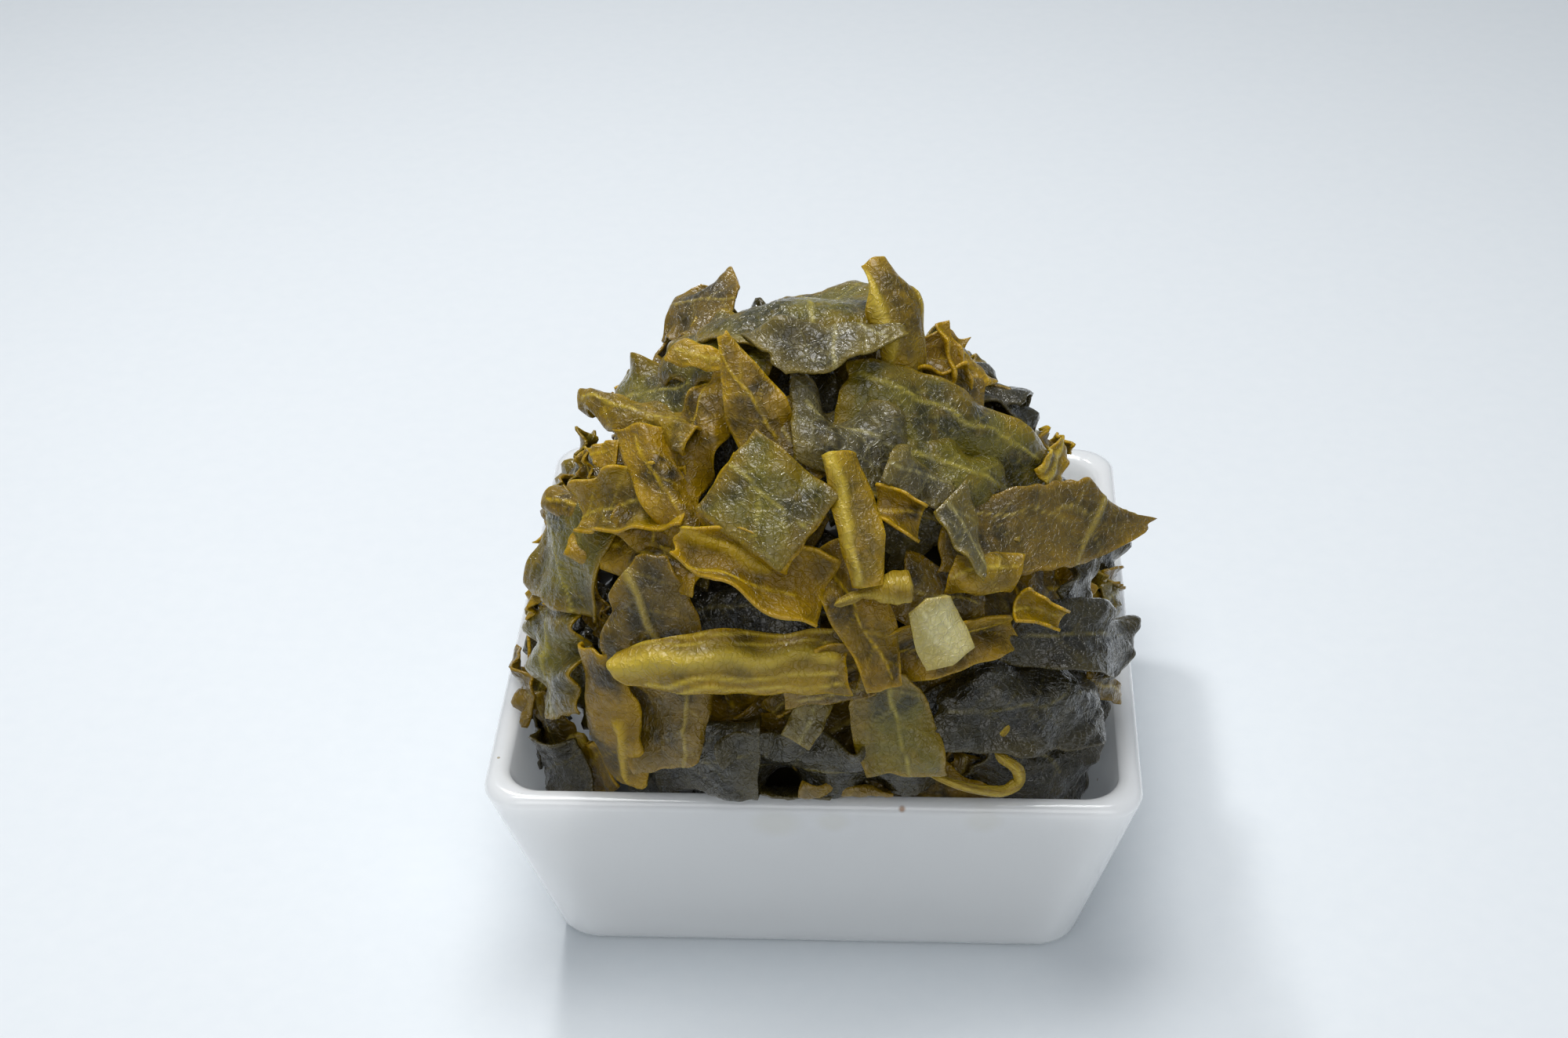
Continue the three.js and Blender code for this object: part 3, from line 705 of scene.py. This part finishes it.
lay_leaf(
    "front_right_leaf", "amber", (32, 11, 9), tilt=(15, 0), spin=4, grow=1.1, upper=(0.9, 1, 0.9, 0.5),
    ends=((1, 1), (1, 0.8)), ruffle=(1.2, 3), crumple=0.8, folds=((-0.1, -60),), nudge=(0, 0, 1),
)
print("pieces laid so far:", len(laid))

# %% The left flank
lay_leaf(
    "left_amber_sheet", "amber", (30, 15, 8), spin=82, grow=1.1, nudge=(-3, 3, 1), skew=0.4,
    bend=(30, 90, 0), upper=(0.7, 1, 0.9, 0.6), ruffle=(1.6, 4), crumple=0.8,
)
lay_leaf(
    "cross_strip", "amber", (25, 9, 6), tilt=(0, -5), spin=-40, grow=1.1, skew=0.5, ruffle=(0.8, 2),
    folds=((0.2, 60),),
)
lay_leaf(
    "left_mustard_cup", "mustard", (19, 10, 12), tilt=(10, 0), spin=28, nudge=(0, 2, 2),
    bend=(20, -110, 0), ruffle=(1.2, 3), ends=((0.6, 1), (1, 1)),
)
lay_leaf(
    "left_ruffle", "mustard", (23, 9, 12), tilt=(15, -10), spin=12, ruffle=(1.5, 4), crumple=1.5,
    bend=(30, 90, 20), roll=(120, 60), folds=((0.0, 60), (0.5, -50)),
)
lay_leaf(
    "ruffle_back_leaf", "olive", (19, 13, 11), tilt=(5, -5), spin=30, skew=-0.3, ruffle=(1.2, 3),
    roll=(60, 0),
)
lay_leaf(
    "left_side_leaf", "olive", (20, 18, 18), spin=12, upper=(0.9, 1, 0.9),
    veins=((-0.85, 0.9, 0.5, -0.95, 1.0),), crumple=0.8, roll=(0, 70), rim=0.9,
)
lay_leaf(
    "left_shelf_leaf", "amber", (22, 9, 9), tilt=(25, 0), spin=4, roll=(110, 40), nudge=(0, 0, 1.5),
    ruffle=(1.2, 3), rim=1.1,
)
lay_leaf(
    "vein_leaf_left", "brown", (17, 10, 17), tilt=(5, 5), spin=-70, skew=-0.3,
    veins=((-0.95, -0.2, 0.95, 0.2, 1.3),), crumple=0.8, ends=((0.6, 1, 0.8), (1, 0.9)),
    nudge=(0, 0, 1.5),
)
lay_leaf("dark_mid_leaf", "dark", (24, 16, 12), spin=5, skew=0.2, folds=((0.2, 50),), crumple=1.2)
print("pieces laid so far:", len(laid))

# %% Low in the bowl
lay_leaf(
    "left_yellow_leaf", "amber", (25, 13, 9), tilt=(-10, -5), spin=-78, grow=1.1, bend=(20, 80, 0),
    upper=(0.6, 1, 1, 0.8), lower=(0.8, 1, 0.9, 0.8), veins=((0.0, 0.35, 0.95, 0.1, 1.8),), rim=1.2,
    roll=(50, 50), nudge=(0, 0, 1),
)
lay_leaf(
    "left_pale_leaf", "olive", (18, 20, 14), tilt=(0, -5), spin=-55, grow=1.1,
    veins=((-0.9, 0.1, 0.95, -0.2, 0.9),), crumple=0.9, ruffle=(1.4, 3), roll=(70, 0), rim=0.9,
)
lay_leaf(
    "under_stem_leaf", "brown", (14, 17, 11), tilt=(-10, 0), spin=-85, skew=-0.3,
    veins=((-0.9, 0.4, 0.95, 0.3, 0.8),), roll=(0, 60), crumple=0.9,
)
lay_leaf(
    "front_dark_fold", "dark", (18, 14, 14), spin=6, skew=0.1, grow=1.1, upper=(1, 1, 1), lower=(1, 1, 1),
    torn=0.04, roll=(0, 110), crumple=0.9,
)
lay_leaf(
    "front_dark_leaf", "dark", (33, 14, 13), tilt=(-5, 0), spin=-3, skew=-0.3, grow=1.1, crumple=1.5,
    ruffle=(1.4, 4), folds=((0.4, 50), (-0.4, -40)),
)
lay_leaf(
    "front_olive_leaf", "olive", (18, 11, 13), tilt=(-5, 0), spin=-84, skew=0.2, grow=1.1,
    upper=(0.5, 0.9, 1, 0.9), lower=(0.6, 1, 1, 0.8), veins=((-0.95, 0, 0.95, 0.1, 0.8),), crumple=0.6,
    nudge=(0, 0, 1.5), rim=0.8,
)
lay_leaf(
    "right_black_leaf", "dark", (33, 15, 15), tilt=(5, 5), spin=-18, skew=0.2, crumple=1.4,
    folds=((0.1, 50),), rim=0.4,
)
lay_leaf(
    "right_low_leaf", "dark", (21, 19, 15), tilt=(-5, -5), spin=-30, grow=1.1,
    veins=((-0.9, 0.5, 0.3, -0.1, 1.2), (-0.5, 0.9, 0.6, 0.7, 0.9)), crumple=1.2, folds=((0.3, 40),),
    rim=0.5,
)
lay_leaf(
    "right_dark_leaf", "dark", (26, 11, 12), tilt=(10, 5), spin=-35, skew=0.5, roll=(0, 80), crumple=1.1,
)
lay_leaf("wall_leaf_right", "dark", (20, 11, 8), tilt=(-15, -15), spin=-65, roll=(0, 60))
print("pieces laid so far:", len(laid))

# %% [markdown]
# ## Small pieces
# Between the large pieces show curled ends, torn tubes and points of other leaves. Each lies at its own place
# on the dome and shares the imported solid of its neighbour. A ring of broader ones closes the crown's back.

# %% Small pieces tucked between
lay_extra(
    "pocket", "blistered_leaf", "amber", (9, 9, 10), (18, 54, 12), spin=-30, bend=(20, -190, 0),
    ends=((0.6, 1), (1, 0.7)), side_veins=False,
)
lay_extra(
    "pocket_lobe", "blistered_leaf", "grey", (13, 10, 9), (25, 58, 10), spin=-40, folds=((0.2, 50),),
    crumple=1.2,
)
lay_extra(
    "torn_tube", "pale_fold_leaf", "mustard", (11, 9, 7), (40, 38, 10), spin=-35, bend=(20, -180, 0),
    ends=((1, 0.8), (0.8, 1)), side_veins=False,
)
lay_extra(
    "side_curl", "left_side_leaf", "amber", (15, 8, 8), (-53, 48, 8), tilt=(30, 0), spin=15,
    bend=(30, 150, 0), roll=(60, 0),
)
lay_extra(
    "side_point", "left_mustard_cup", "amber", (7, 3, 6), (-51, 55, 9), spin=30, ends=((0.3, 1), (1, 1)),
)
lay_extra(
    "right_tail", "right_dark_leaf", "brown", (12, 7, 3), (57, 19, 6), tilt=(10, 0), spin=-50,
    roll=(50, 0),
)
lay_extra(
    "top_curl", "right_top_cup", "amber", (13, 6, 4), (56, 70, 5), tilt=(-30, 0), spin=80,
    bend=(20, -150, 0),
)
lay_extra("top_curl_back", "right_top_cup", "amber", (9, 6, 5), (66, 68, 4), spin=70, bend=(20, 90, 0))
lay_extra("grey_bit", "dark_mid_leaf", "grey", (9, 6, 6), (0, 29, 6), spin=60, crumple=0.9)
lay_extra("edge_strip", "boat_tail_leaf", "brown", (16, 4, 3), (4, 33, 9), spin=8, roll=(60, 0))
lay_extra(
    "fan_stalk", "right_top_leaf", "mustard", (12, 7, 4), (64, 52, 6), spin=5,
    veins=((-1, 0, 1, 0.2, 1.6), (-1, 0.6, 1, 0.9, 0.8)), side_veins=False,
)
lay_extra(
    "crown_right", "right_top_leaf", "brown", (15, 12, 8), (56, 62, 1), spin=-50, tilt=(-10, 10),
    roll=(40, 0),
)
lay_extra("spike_foot", "amber_spike", "brown", (15, 9, 11), (-4, 64, 8), spin=-55, folds=((0.1, 40),))
lay_extra("point_bit", "olive_back_leaf", "amber", (10, 6, 2), (12, 43, 10), spin=-80)
lay_extra("dark_right", "right_dark_leaf", "dark", (15, 12, 10), (58, 37, 4), spin=20, crumple=1.2)
lay_extra(
    "crown_lobe", "crown_left_flap", "mustard", (12, 6, 3), (-38, 70, 10), spin=10, bend=(30, 60, 0),
    rim=1.4,
)
lay_extra("low_yellow", "left_side_leaf", "mustard", (8, 5, 7), (-60, 32, 6), spin=70, ruffle=(1, 2))
lay_extra(
    "cross_end", "cross_strip", "mustard", (17, 6, 8), (-33, 52, 7), spin=-60, roll=(60, 0),
    ruffle=(1, 3),
)

lay_extra(
    "corner_left", "under_stem_leaf", "brown", (15, 14, 11), (-52, 11, 3), spin=-60, roll=(0, 60),
    crumple=1.1,
)
lay_extra("corner_left_low", "left_yellow_leaf", "dark", (16, 14, 12), (-47, 8, 5), spin=30, crumple=1.2)
lay_extra("corner_left_edge", "left_pale_leaf", "brown", (15, 12, 10), (-62, 14, 4), spin=10, crumple=1.2)
for number, (azimuth, level) in enumerate(((120, 78), (150, 72), (180, 80), (182, 70), (212, 73), (240, 79))):
    tone = ("olive", "brown", "olive", "mustard", "brown", "grey")[number]
    spot = (azimuth, level - 4, -5.0)
    name = f"crown_back_{number + 1}"
    lay_extra(
        name, "packed_greens_3", tone, (19, 16, 14), spot, spin=40 * number, roll=(40, 40), crumple=1.1,
    )
lay_extra(
    "front_fill", "front_dark_leaf", "dark", (24, 15, 13), (-1, 9, 3), tilt=(-10, 0), spin=4, crumple=1.3,
)
lay_extra(
    "front_fill_olive", "front_dark_leaf", "brown", (16, 9, 7), (6, 13, 4), tilt=(-5, 0), spin=-8,
    roll=(0, 70),
)
lay_extra("corner_right", "right_low_leaf", "dark", (16, 14, 12), (47, 8, 5), spin=40, crumple=1.2)
lay_extra(
    "corner_right_edge", "wall_leaf_right", "dark", (18, 10, 8), (56, 10, 3), spin=75, roll=(0, 70),
    crumple=1.0,
)
print("pieces laid so far:", len(laid))

# %% [markdown]
# ## Midribs and buds
# A midrib keeps its round section when the blade beside it goes limp. Each is a tube with a thickness that
# changes along it, laid through a few points on the heap.

# %% Tubes


def tube(name, node, tone, path, radii, flat=0.8):
    """path holds points in millimetres and radii the half thickness at each."""
    count, sides = 40, 16
    path = np.array(path, float)
    at = np.linspace(0, len(path) - 1, count + 1)
    line = np.column_stack([np.interp(at, range(len(path)), path[:, k]) for k in range(3)])
    for _ in range(4):
        line[1:-1] = (line[:-2] + 2 * line[1:-1] + line[2:]) / 4
    thick = np.interp(np.linspace(0, 1, count + 1), np.linspace(0, 1, len(radii)), radii)
    thick = thick * np.minimum(
        1, np.sqrt(np.minimum(np.arange(count + 1), np.arange(count, -1, -1)) / 2 + 0.02),
    )
    rng = np.random.default_rng(len(name) * 13 + count)
    bm = bmesh.new()
    bmesh.ops.create_grid(bm, x_segments=count, y_segments=sides, size=1)
    vein_layer = bm.verts.layers.float.new("vein")
    rim_layer = bm.verts.layers.float.new("rim")
    skin_layer = bm.loops.layers.uv.new("skin")
    run = np.gradient(line, axis=0)
    run /= np.linalg.norm(run, axis=1)[:, None]
    flat_place = {}
    groove = rng.uniform(0, 6.3)
    for vert in bm.verts:
        i = round((vert.co.x + 1) / 2 * count)
        turn = math.pi * vert.co.y
        out = line[i] - HEAP_CENTRE
        out -= run[i] * (out @ run[i])
        out /= np.linalg.norm(out)
        side = np.cross(run[i], out)
        reach = thick[i] * (1 + 0.07 * math.sin(5 * turn + groove) + 0.05 * math.sin(i * 0.9 + groove))
        flat_place[vert] = (i * 0.5, turn * 1.5)
        vert.co = Vector(line[i] + reach * (side * math.cos(turn) + out * flat * math.sin(turn))) * MM
        vert[vein_layer] = 0.3 + 0.3 * math.sin(4 * turn + i * 0.2)
        vert[rim_layer] = 0.2
    for face in bm.faces:
        face.smooth = True
        for loop in face.loops:
            loop[skin_layer].uv = flat_place[loop.vert]
    bmesh.ops.remove_doubles(bm, verts=bm.verts, dist=1e-6)
    bmesh.ops.holes_fill(bm, edges=bm.edges)
    bmesh.ops.recalc_face_normals(bm, faces=bm.faces)
    mesh = bpy.data.meshes.new(name)
    bm.to_mesh(mesh)
    bm.free()
    mesh.materials.append(LEAF_FINISHES[tone])
    piece = bpy.data.objects.new(name, mesh)
    bpy.context.scene.collection.objects.link(piece)
    settle(piece, node)


def on_heap(*spots):
    return [dome_point(*spot) for spot in spots]


def node_path(node, *shares):
    """Points inside a node's box, each given as shares of its width, depth and height."""
    low, high = (np.array(corner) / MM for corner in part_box(node))
    return [low + (high - low) * np.array(share) for share in shares]


bud = node_path(
    "stem_bud", (-0.2, -0.4, 0.3), (0.1, -0.2, 0.5), (0.3, 0, 0.5), (0.6, 0, 0.65), (0.85, 0.1, 0.65),
)
tube("bud", "stem_bud", "mustard", bud, (0.5, 1.0, 0.7, 1.4, 2.6, 2.9, 2.4))
chunk = node_path("stem_chunk", (0.3, 0.3, 1), (0.4, 0.4, 0.6), (0.6, 0.6, 0.1))
tube("chunk", "stem_chunk", "mustard", chunk, (2.0, 2.4, 2.1))
loop = on_heap((19, 19, 5), (22, 17, 7), (26, 15, 8), (31, 13, 8), (34, 14, 8), (33, 17, 9), (30, 20, 8))
tube("loop_rib", "right_low_leaf", "mustard", loop, (0.5, 0.7, 0.9, 1.2, 1.1, 0.8))
tube(
    "loop_arm", "right_low_leaf", "mustard", on_heap((30, 20, 8), (32, 23, 8), (36, 26, 7)),
    (0.7, 0.8, 0.6),
)
print("pieces laid so far:", len(laid))

# %% [markdown]
# ## The back and the far sides
# Larger pieces lie in three overlapping rows round the back. They get the same care as the front, with the
# choices made by a seeded shuffle so that no two are alike.

# %% Back pieces
BACK_TONES = ["olive", "brown", "dark", "mustard", "grey"]
shuffle = random.Random(4)
back_nodes = sorted(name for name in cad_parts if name.startswith("back_leaf_"))
for number, node in enumerate(back_nodes):
    recipe = {
        "tilt": (shuffle.uniform(-8, 8), shuffle.uniform(-8, 8)),
        "spin": shuffle.uniform(-50, 50),
        "ruffle": (shuffle.uniform(0.5, 1.5), shuffle.uniform(2, 4)),
        "crumple": shuffle.uniform(0.6, 1.1),
        "upper": [shuffle.uniform(0.7, 1) for _ in range(4)],
        "lower": [shuffle.uniform(0.7, 1) for _ in range(4)],
        "cell": 0.7,
        "grow": 1.0,
        "roll": (shuffle.uniform(0, 80), shuffle.uniform(0, 80)),
        "folds": ((shuffle.uniform(-0.4, 0.4), shuffle.uniform(20, 60)),),
        "nudge": (0, 0, -5),
    }
    lay_leaf(node, BACK_TONES[number % 5], (28, 23, 18), **recipe)
print("back pieces:", len(back_nodes))

# %% [markdown]
# ## Folds between the pieces
# Between the named pieces the heap is full of more chopped leaf, seen only as dark folds. Scattered pieces
# lie just under the skin all over the dome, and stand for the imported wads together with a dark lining.

# %% Scattered folds
PACKED_NODES = ["packed_greens_1", "packed_greens_2", "packed_greens_3"]
PACKED_STEP = 28  # degrees of elevation that each packed wad takes up
FOLD_ROWS = ((8, 22), (22, 20), (36, 19), (50, 19), (64, 17), (77, 12))  # elevation, pieces round the dome
FOLD_TONES = ["dark", "brown", "olive", "dark", "grey", "amber", "dark", "brown"]
fold_count = 0
for elevation, count in FOLD_ROWS:
    for i in range(count):
        azimuth = 360 * (i + 0.5 * shuffle.random()) / count
        level = elevation + shuffle.uniform(-5, 5)
        under_crown = elevation > 45 and abs(azimuth - 180) > 55  # kept low, where the crown's own pieces lie
        lift = shuffle.uniform(-4.5, 1.0) - (4.0 if under_crown else 0)
        recipe = leaf_recipe(
            (shuffle.uniform(17, 26), shuffle.uniform(11, 17), shuffle.uniform(9, 15)),
            tilt=(shuffle.uniform(-16, 16), shuffle.uniform(-16, 16)),
            spin=shuffle.uniform(0, 360),
            ruffle=(shuffle.uniform(0.6, 1.6), shuffle.uniform(2, 4)),
            crumple=shuffle.uniform(0.7, 1.3),
            upper=[shuffle.uniform(0.7, 1) for _ in range(4)],
            lower=[shuffle.uniform(0.7, 1) for _ in range(4)],
            cell=0.9,
        )
        fold_count += 1
        node = PACKED_NODES[min(2, int(level / PACKED_STEP))]
        tone = FOLD_TONES[shuffle.randrange(len(FOLD_TONES))]
        lay_at(f"fold_{fold_count}", node, tone, (azimuth, level, lift), recipe)
print("scattered folds:", fold_count)

# %% [markdown]
# ## Scraps
# Chopping also makes slivers and torn ends that curl up as they cook. They are scattered evenly round the
# dome, a few millimetres in or out of its skin, so that the gaps between larger pieces aren't empty.

# %% Scraps in the gaps
SCRAP_COUNT = 90
SCRAP_TONES = ["amber", "brown", "mustard", "olive", "grey", "brown"]
for number in range(SCRAP_COUNT):
    recipe = leaf_recipe(
        (shuffle.uniform(7, 15), shuffle.uniform(3, 7), shuffle.uniform(3, 7)),
        tilt=(shuffle.uniform(-30, 30), shuffle.uniform(-30, 30)),
        spin=shuffle.uniform(0, 360),
        bend=(shuffle.uniform(0, 60), shuffle.uniform(-160, 160), shuffle.uniform(-40, 40)),
        ends=((shuffle.uniform(0.4, 1), 1), (1, shuffle.uniform(0.4, 1))),
        ruffle=(shuffle.uniform(0.3, 1.2), shuffle.uniform(2, 4)),
        side_veins=False,
    )
    tone = SCRAP_TONES[number % len(SCRAP_TONES)]
    level = shuffle.uniform(12, 74)
    spot = (number * 360 / SCRAP_COUNT, level, shuffle.uniform(-2.5, 2.5))
    lay_at(f"scrap_{number + 1}", PACKED_NODES[min(2, int(level / PACKED_STEP))], tone, spot, recipe)
print("scraps:", SCRAP_COUNT)

# %% [markdown]
# ## The lining
# Under everything lies a dark lumpy body, so that no gap looks through the heap. Its dark finish is painted
# shade: it stands for the deep shadow between the pieces. It starts as an icosphere whose points move out to
# about 8 mm under the dome's skin.

# %% Lining under the folds


def lining():
    bm = bmesh.new()
    bmesh.ops.create_icosphere(bm, subdivisions=5, radius=1)
    rng = np.random.default_rng(11)
    points = np.array([vert.co for vert in bm.verts])
    lumps = waves(points[:, 0] * 50, points[:, 1] * 50 + points[:, 2] * 80, 9, rng)
    for vert, way, lump in zip(bm.verts, points, lumps):
        spot = HEAP_CENTRE + way * dome_reach(way, -SKIN_DEPTH - 4.5 + 2 * lump)
        spot[2] = max(spot[2], 6)
        vert.co = Vector(kept_in_bowl(spot[None], 4.0)[0]) * MM
    for face in bm.faces:
        face.smooth = True
    mesh = bpy.data.meshes.new("packed_lining")
    bm.to_mesh(mesh)
    bm.free()
    # painted shade: the darkest leaf finish stands for the shadow deep in the heap
    mesh.materials.append(LEAF_FINISHES["dark"])
    piece = bpy.data.objects.new("packed_lining", mesh)
    bpy.context.scene.collection.objects.link(piece)
    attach(piece, "root")
    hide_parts(*PACKED_NODES)


lining()

# %% [markdown]
# ## The bowl
# Glazed porcelain is white clay under a thin layer of clear glass. The bowl was slip-cast: its walls lean
# out, its corners are round, and the glaze softens every edge. It is made as a pot is, as a profile spun
# round, and then pressed square by moving each point out from its circle.

# %% Porcelain
# A crumb on the rim and drips of cooking liquid: place in mm, reach in mm, colour and strength.
PORCELAIN_MARKS = (
    ((15.9, -57.3, 42.4), 0.9, "#8a5a24", 0.9),
    ((-6.0, -57.5, 38.5), 6.0, "#d9d3b4", 0.35),
    ((4.0, -57.2, 39.0), 4.0, "#d9d3b4", 0.3),
    ((30.0, -57.2, 40.0), 4.5, "#d9d3b4", 0.3),
)


def porcelain():
    made, tree = new_material("porcelain, glazed")
    place = add(tree, "ShaderNodeTexCoord").outputs["Object"]
    ripple = add(tree, "ShaderNodeTexNoise", {"Vector": place, "Scale": 1 / (18 * MM), "Detail": 1.0})
    bump = add(
        tree, "ShaderNodeBump",
        {"Height": ripple.outputs["Fac"], "Strength": 0.12, "Distance": 0.85 * MM},
    )
    specks = add(tree, "ShaderNodeTexVoronoi", {"Vector": place, "Scale": 1 / (16 * MM)})
    near = {"Value": specks.outputs["Distance"], "From Min": 0.022, "From Max": 0.016}
    speck = add(tree, "ShaderNodeMapRange", near, **EASED).outputs["Result"]
    clay = {0: speck, 6: linear("#eff1f1"), 7: linear("#a89c82")}
    colour = add(tree, "ShaderNodeMix", clay, data_type="RGBA").outputs[2]
    for spot, reach, stain, strength in PORCELAIN_MARKS:
        gap = add(tree, "ShaderNodeVectorMath", {0: place, 1: Vector(spot) * MM}, operation="DISTANCE")
        near = {"Value": gap.outputs["Value"], "From Min": reach * MM, "From Max": reach * 0.3 * MM}
        near = add(tree, "ShaderNodeMapRange", near, **EASED).outputs["Result"]
        near = add(tree, "ShaderNodeMath", {0: near, 1: strength}, operation="MULTIPLY").outputs[0]
        layer = {0: near, 6: colour, 7: linear(stain)}
        colour = add(tree, "ShaderNodeMix", layer, data_type="RGBA").outputs[2]
    shader = add(
        tree,
        "ShaderNodeBsdfPrincipled",
        {
            "Base Color": colour,
            "Roughness": 0.16,
            "IOR": 1.5,
            "Normal": bump.outputs["Normal"],
            "Coat Weight": 0.6,
            "Coat Roughness": 0.05,
            "Subsurface Weight": 1.0,
            "Subsurface Radius": (1.0, 1.0, 1.0),
            "Subsurface Scale": 16 * MM,
        },
    )
    finish_material(tree, shader)
    return made


# %% Bowl mesh
FOOT_HALF = 47.0
WALL = 4.0
FLOOR = 5.0
CORNER = 7.0
HEEL = 4.5
LIP = 1.8
WELL = 6.0
RIM_HALF = bowl_high[0] + 0.5
RIM_HEIGHT = bowl_high[2]


def outer_half(z):
    return FOOT_HALF + (RIM_HALF - FOOT_HALF) * z / RIM_HEIGHT


def arc(x, z, radius, start, end, count):
    turns = [math.radians(start + (end - start) * i / count) for i in range(count + 1)]
    return [(x + radius * math.cos(t), z + radius * math.sin(t)) for t in turns]


def bowl_profile():
    lean = math.degrees(math.atan2(RIM_HALF - FOOT_HALF, RIM_HEIGHT))
    lip_z = RIM_HEIGHT - LIP
    well_z = FLOOR + WELL
    foot = outer_half(HEEL) - HEEL
    inner_lip = outer_half(lip_z) - WALL + LIP
    inner_well = outer_half(well_z) - WALL - WELL
    wall = arc(foot, HEEL, HEEL, -90, -lean, 10)
    wall += arc(outer_half(lip_z) - LIP, lip_z, LIP, -lean, 90, 10)
    wall += arc(inner_lip, lip_z, LIP, 90, 180, 8)
    wall += arc(inner_well, well_z, WELL, 0, -90, 10)
    return [(0, 0), (foot * 0.5, 0)] + wall + [(inner_well * 0.5, FLOOR), (0, FLOOR)]


def squared(x, y):
    radius = math.hypot(x, y)
    if radius < 1e-6:
        return x, y
    round_part = min(CORNER, radius)
    straight = radius - round_part
    angle = math.atan2(y, x)
    diagonal = math.floor(angle / (math.pi / 2)) * (math.pi / 2) + math.pi / 4
    share = (angle - diagonal) / (math.pi / 4)
    heading = diagonal + max(-1, min(1, 2 * share)) * math.pi / 4
    run = max(0, 2 * abs(share) - 1) * math.copysign(straight, share)
    reach = math.sqrt(2) * straight
    return (
        reach * math.cos(diagonal) + round_part * math.cos(heading) - run * math.sin(heading),
        reach * math.sin(diagonal) + round_part * math.sin(heading) + run * math.cos(heading),
    )


def make_bowl():
    bm = bmesh.new()
    rim = [bm.verts.new((x, 0, z)) for x, z in bowl_profile()]
    edges = [bm.edges.new(pair) for pair in zip(rim, rim[1:])]
    bmesh.ops.spin(
        bm, geom=rim + edges, axis=(0, 0, 1), cent=(0, 0, 0), steps=96, angle=2 * math.pi, use_merge=True,
    )
    bmesh.ops.remove_doubles(bm, verts=bm.verts, dist=0.01)
    for vert in bm.verts:
        vert.co.x, vert.co.y = squared(vert.co.x, vert.co.y)
        vert.co *= MM
    bmesh.ops.recalc_face_normals(bm, faces=bm.faces)
    for face in bm.faces:
        face.smooth = True
    mesh = bpy.data.meshes.new("porcelain_bowl")
    bm.to_mesh(mesh)
    bm.free()
    mesh.materials.append(porcelain())
    piece = bpy.data.objects.new("porcelain_bowl", mesh)
    bpy.context.scene.collection.objects.link(piece)
    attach(piece, "root")
    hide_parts("bowl")
    print("bowl faces:", len(mesh.polygons))


make_bowl()

# %% [markdown]
# ## Table and light
# The bowl stands on a plain pale sweep. One broad light hangs above, which lays a silver sheen on every wet
# leaf that faces up. A small one behind makes the sharp glints, and a broad one in front lifts the shade on
# the bowl. The sky fills the rest.

# %% Sweep


def sweep():
    made, tree = new_material("pale paper, matt")
    place = add(tree, "ShaderNodeTexCoord").outputs["Object"]
    fibre = add(tree, "ShaderNodeTexNoise", {"Vector": place, "Scale": 1 / (4 * MM), "Detail": 3.0})
    paper = {0: fibre.outputs["Fac"], 6: linear("#e4e9ed"), 7: linear("#e9edf0")}
    colour = add(tree, "ShaderNodeMix", paper, data_type="RGBA").outputs[2]
    shader = add(tree, "ShaderNodeBsdfPrincipled", {"Base Color": colour, "Roughness": 0.7})
    finish_material(tree, shader)
    bm = bmesh.new()
    bmesh.ops.create_grid(bm, x_segments=2, y_segments=60, size=2.5)
    for vert in bm.verts:
        back = max(0.0, vert.co.y - 0.6)
        vert.co.z = 0.35 * back**2
    for face in bm.faces:
        face.smooth = True
    mesh = bpy.data.meshes.new("floor")
    bm.to_mesh(mesh)
    bm.free()
    mesh.materials.append(made)
    floor = bpy.data.objects.new("floor", mesh)
    bpy.context.scene.collection.objects.link(floor)


sweep()

# %% Lights


def area_light(name, place, target, size, power, colour="#ffffff"):
    data = bpy.data.lights.new(name, "AREA")
    data.shape = "RECTANGLE"
    data.size, data.size_y = size
    data.energy = power
    data.color = linear(colour)[:3]
    made = bpy.data.objects.new(name, data)
    made.location = place
    made.rotation_euler = (Vector(target) - Vector(place)).to_track_quat("-Z", "Y").to_euler()
    bpy.context.scene.collection.objects.link(made)


area_light("softbox", (-0.05, 0.05, 0.66), (0, 0.0, 0.06), (0.45, 0.32), 2.4)
area_light("glint", (-0.22, 0.3, 0.6), (0, 0, 0.07), (0.08, 0.08), 1.3)
area_light("fill", (0.1, -0.75, 0.6), (0, 0, 0.03), (1.0, 0.5), 2.25)

world = bpy.data.worlds.new("studio")
world.use_nodes = True
world.node_tree.nodes["Background"].inputs["Color"].default_value = linear("#e3ecf5")
world.node_tree.nodes["Background"].inputs["Strength"].default_value = 0.3
bpy.context.scene.world = world
bpy.context.scene.view_settings.view_transform = "Standard"
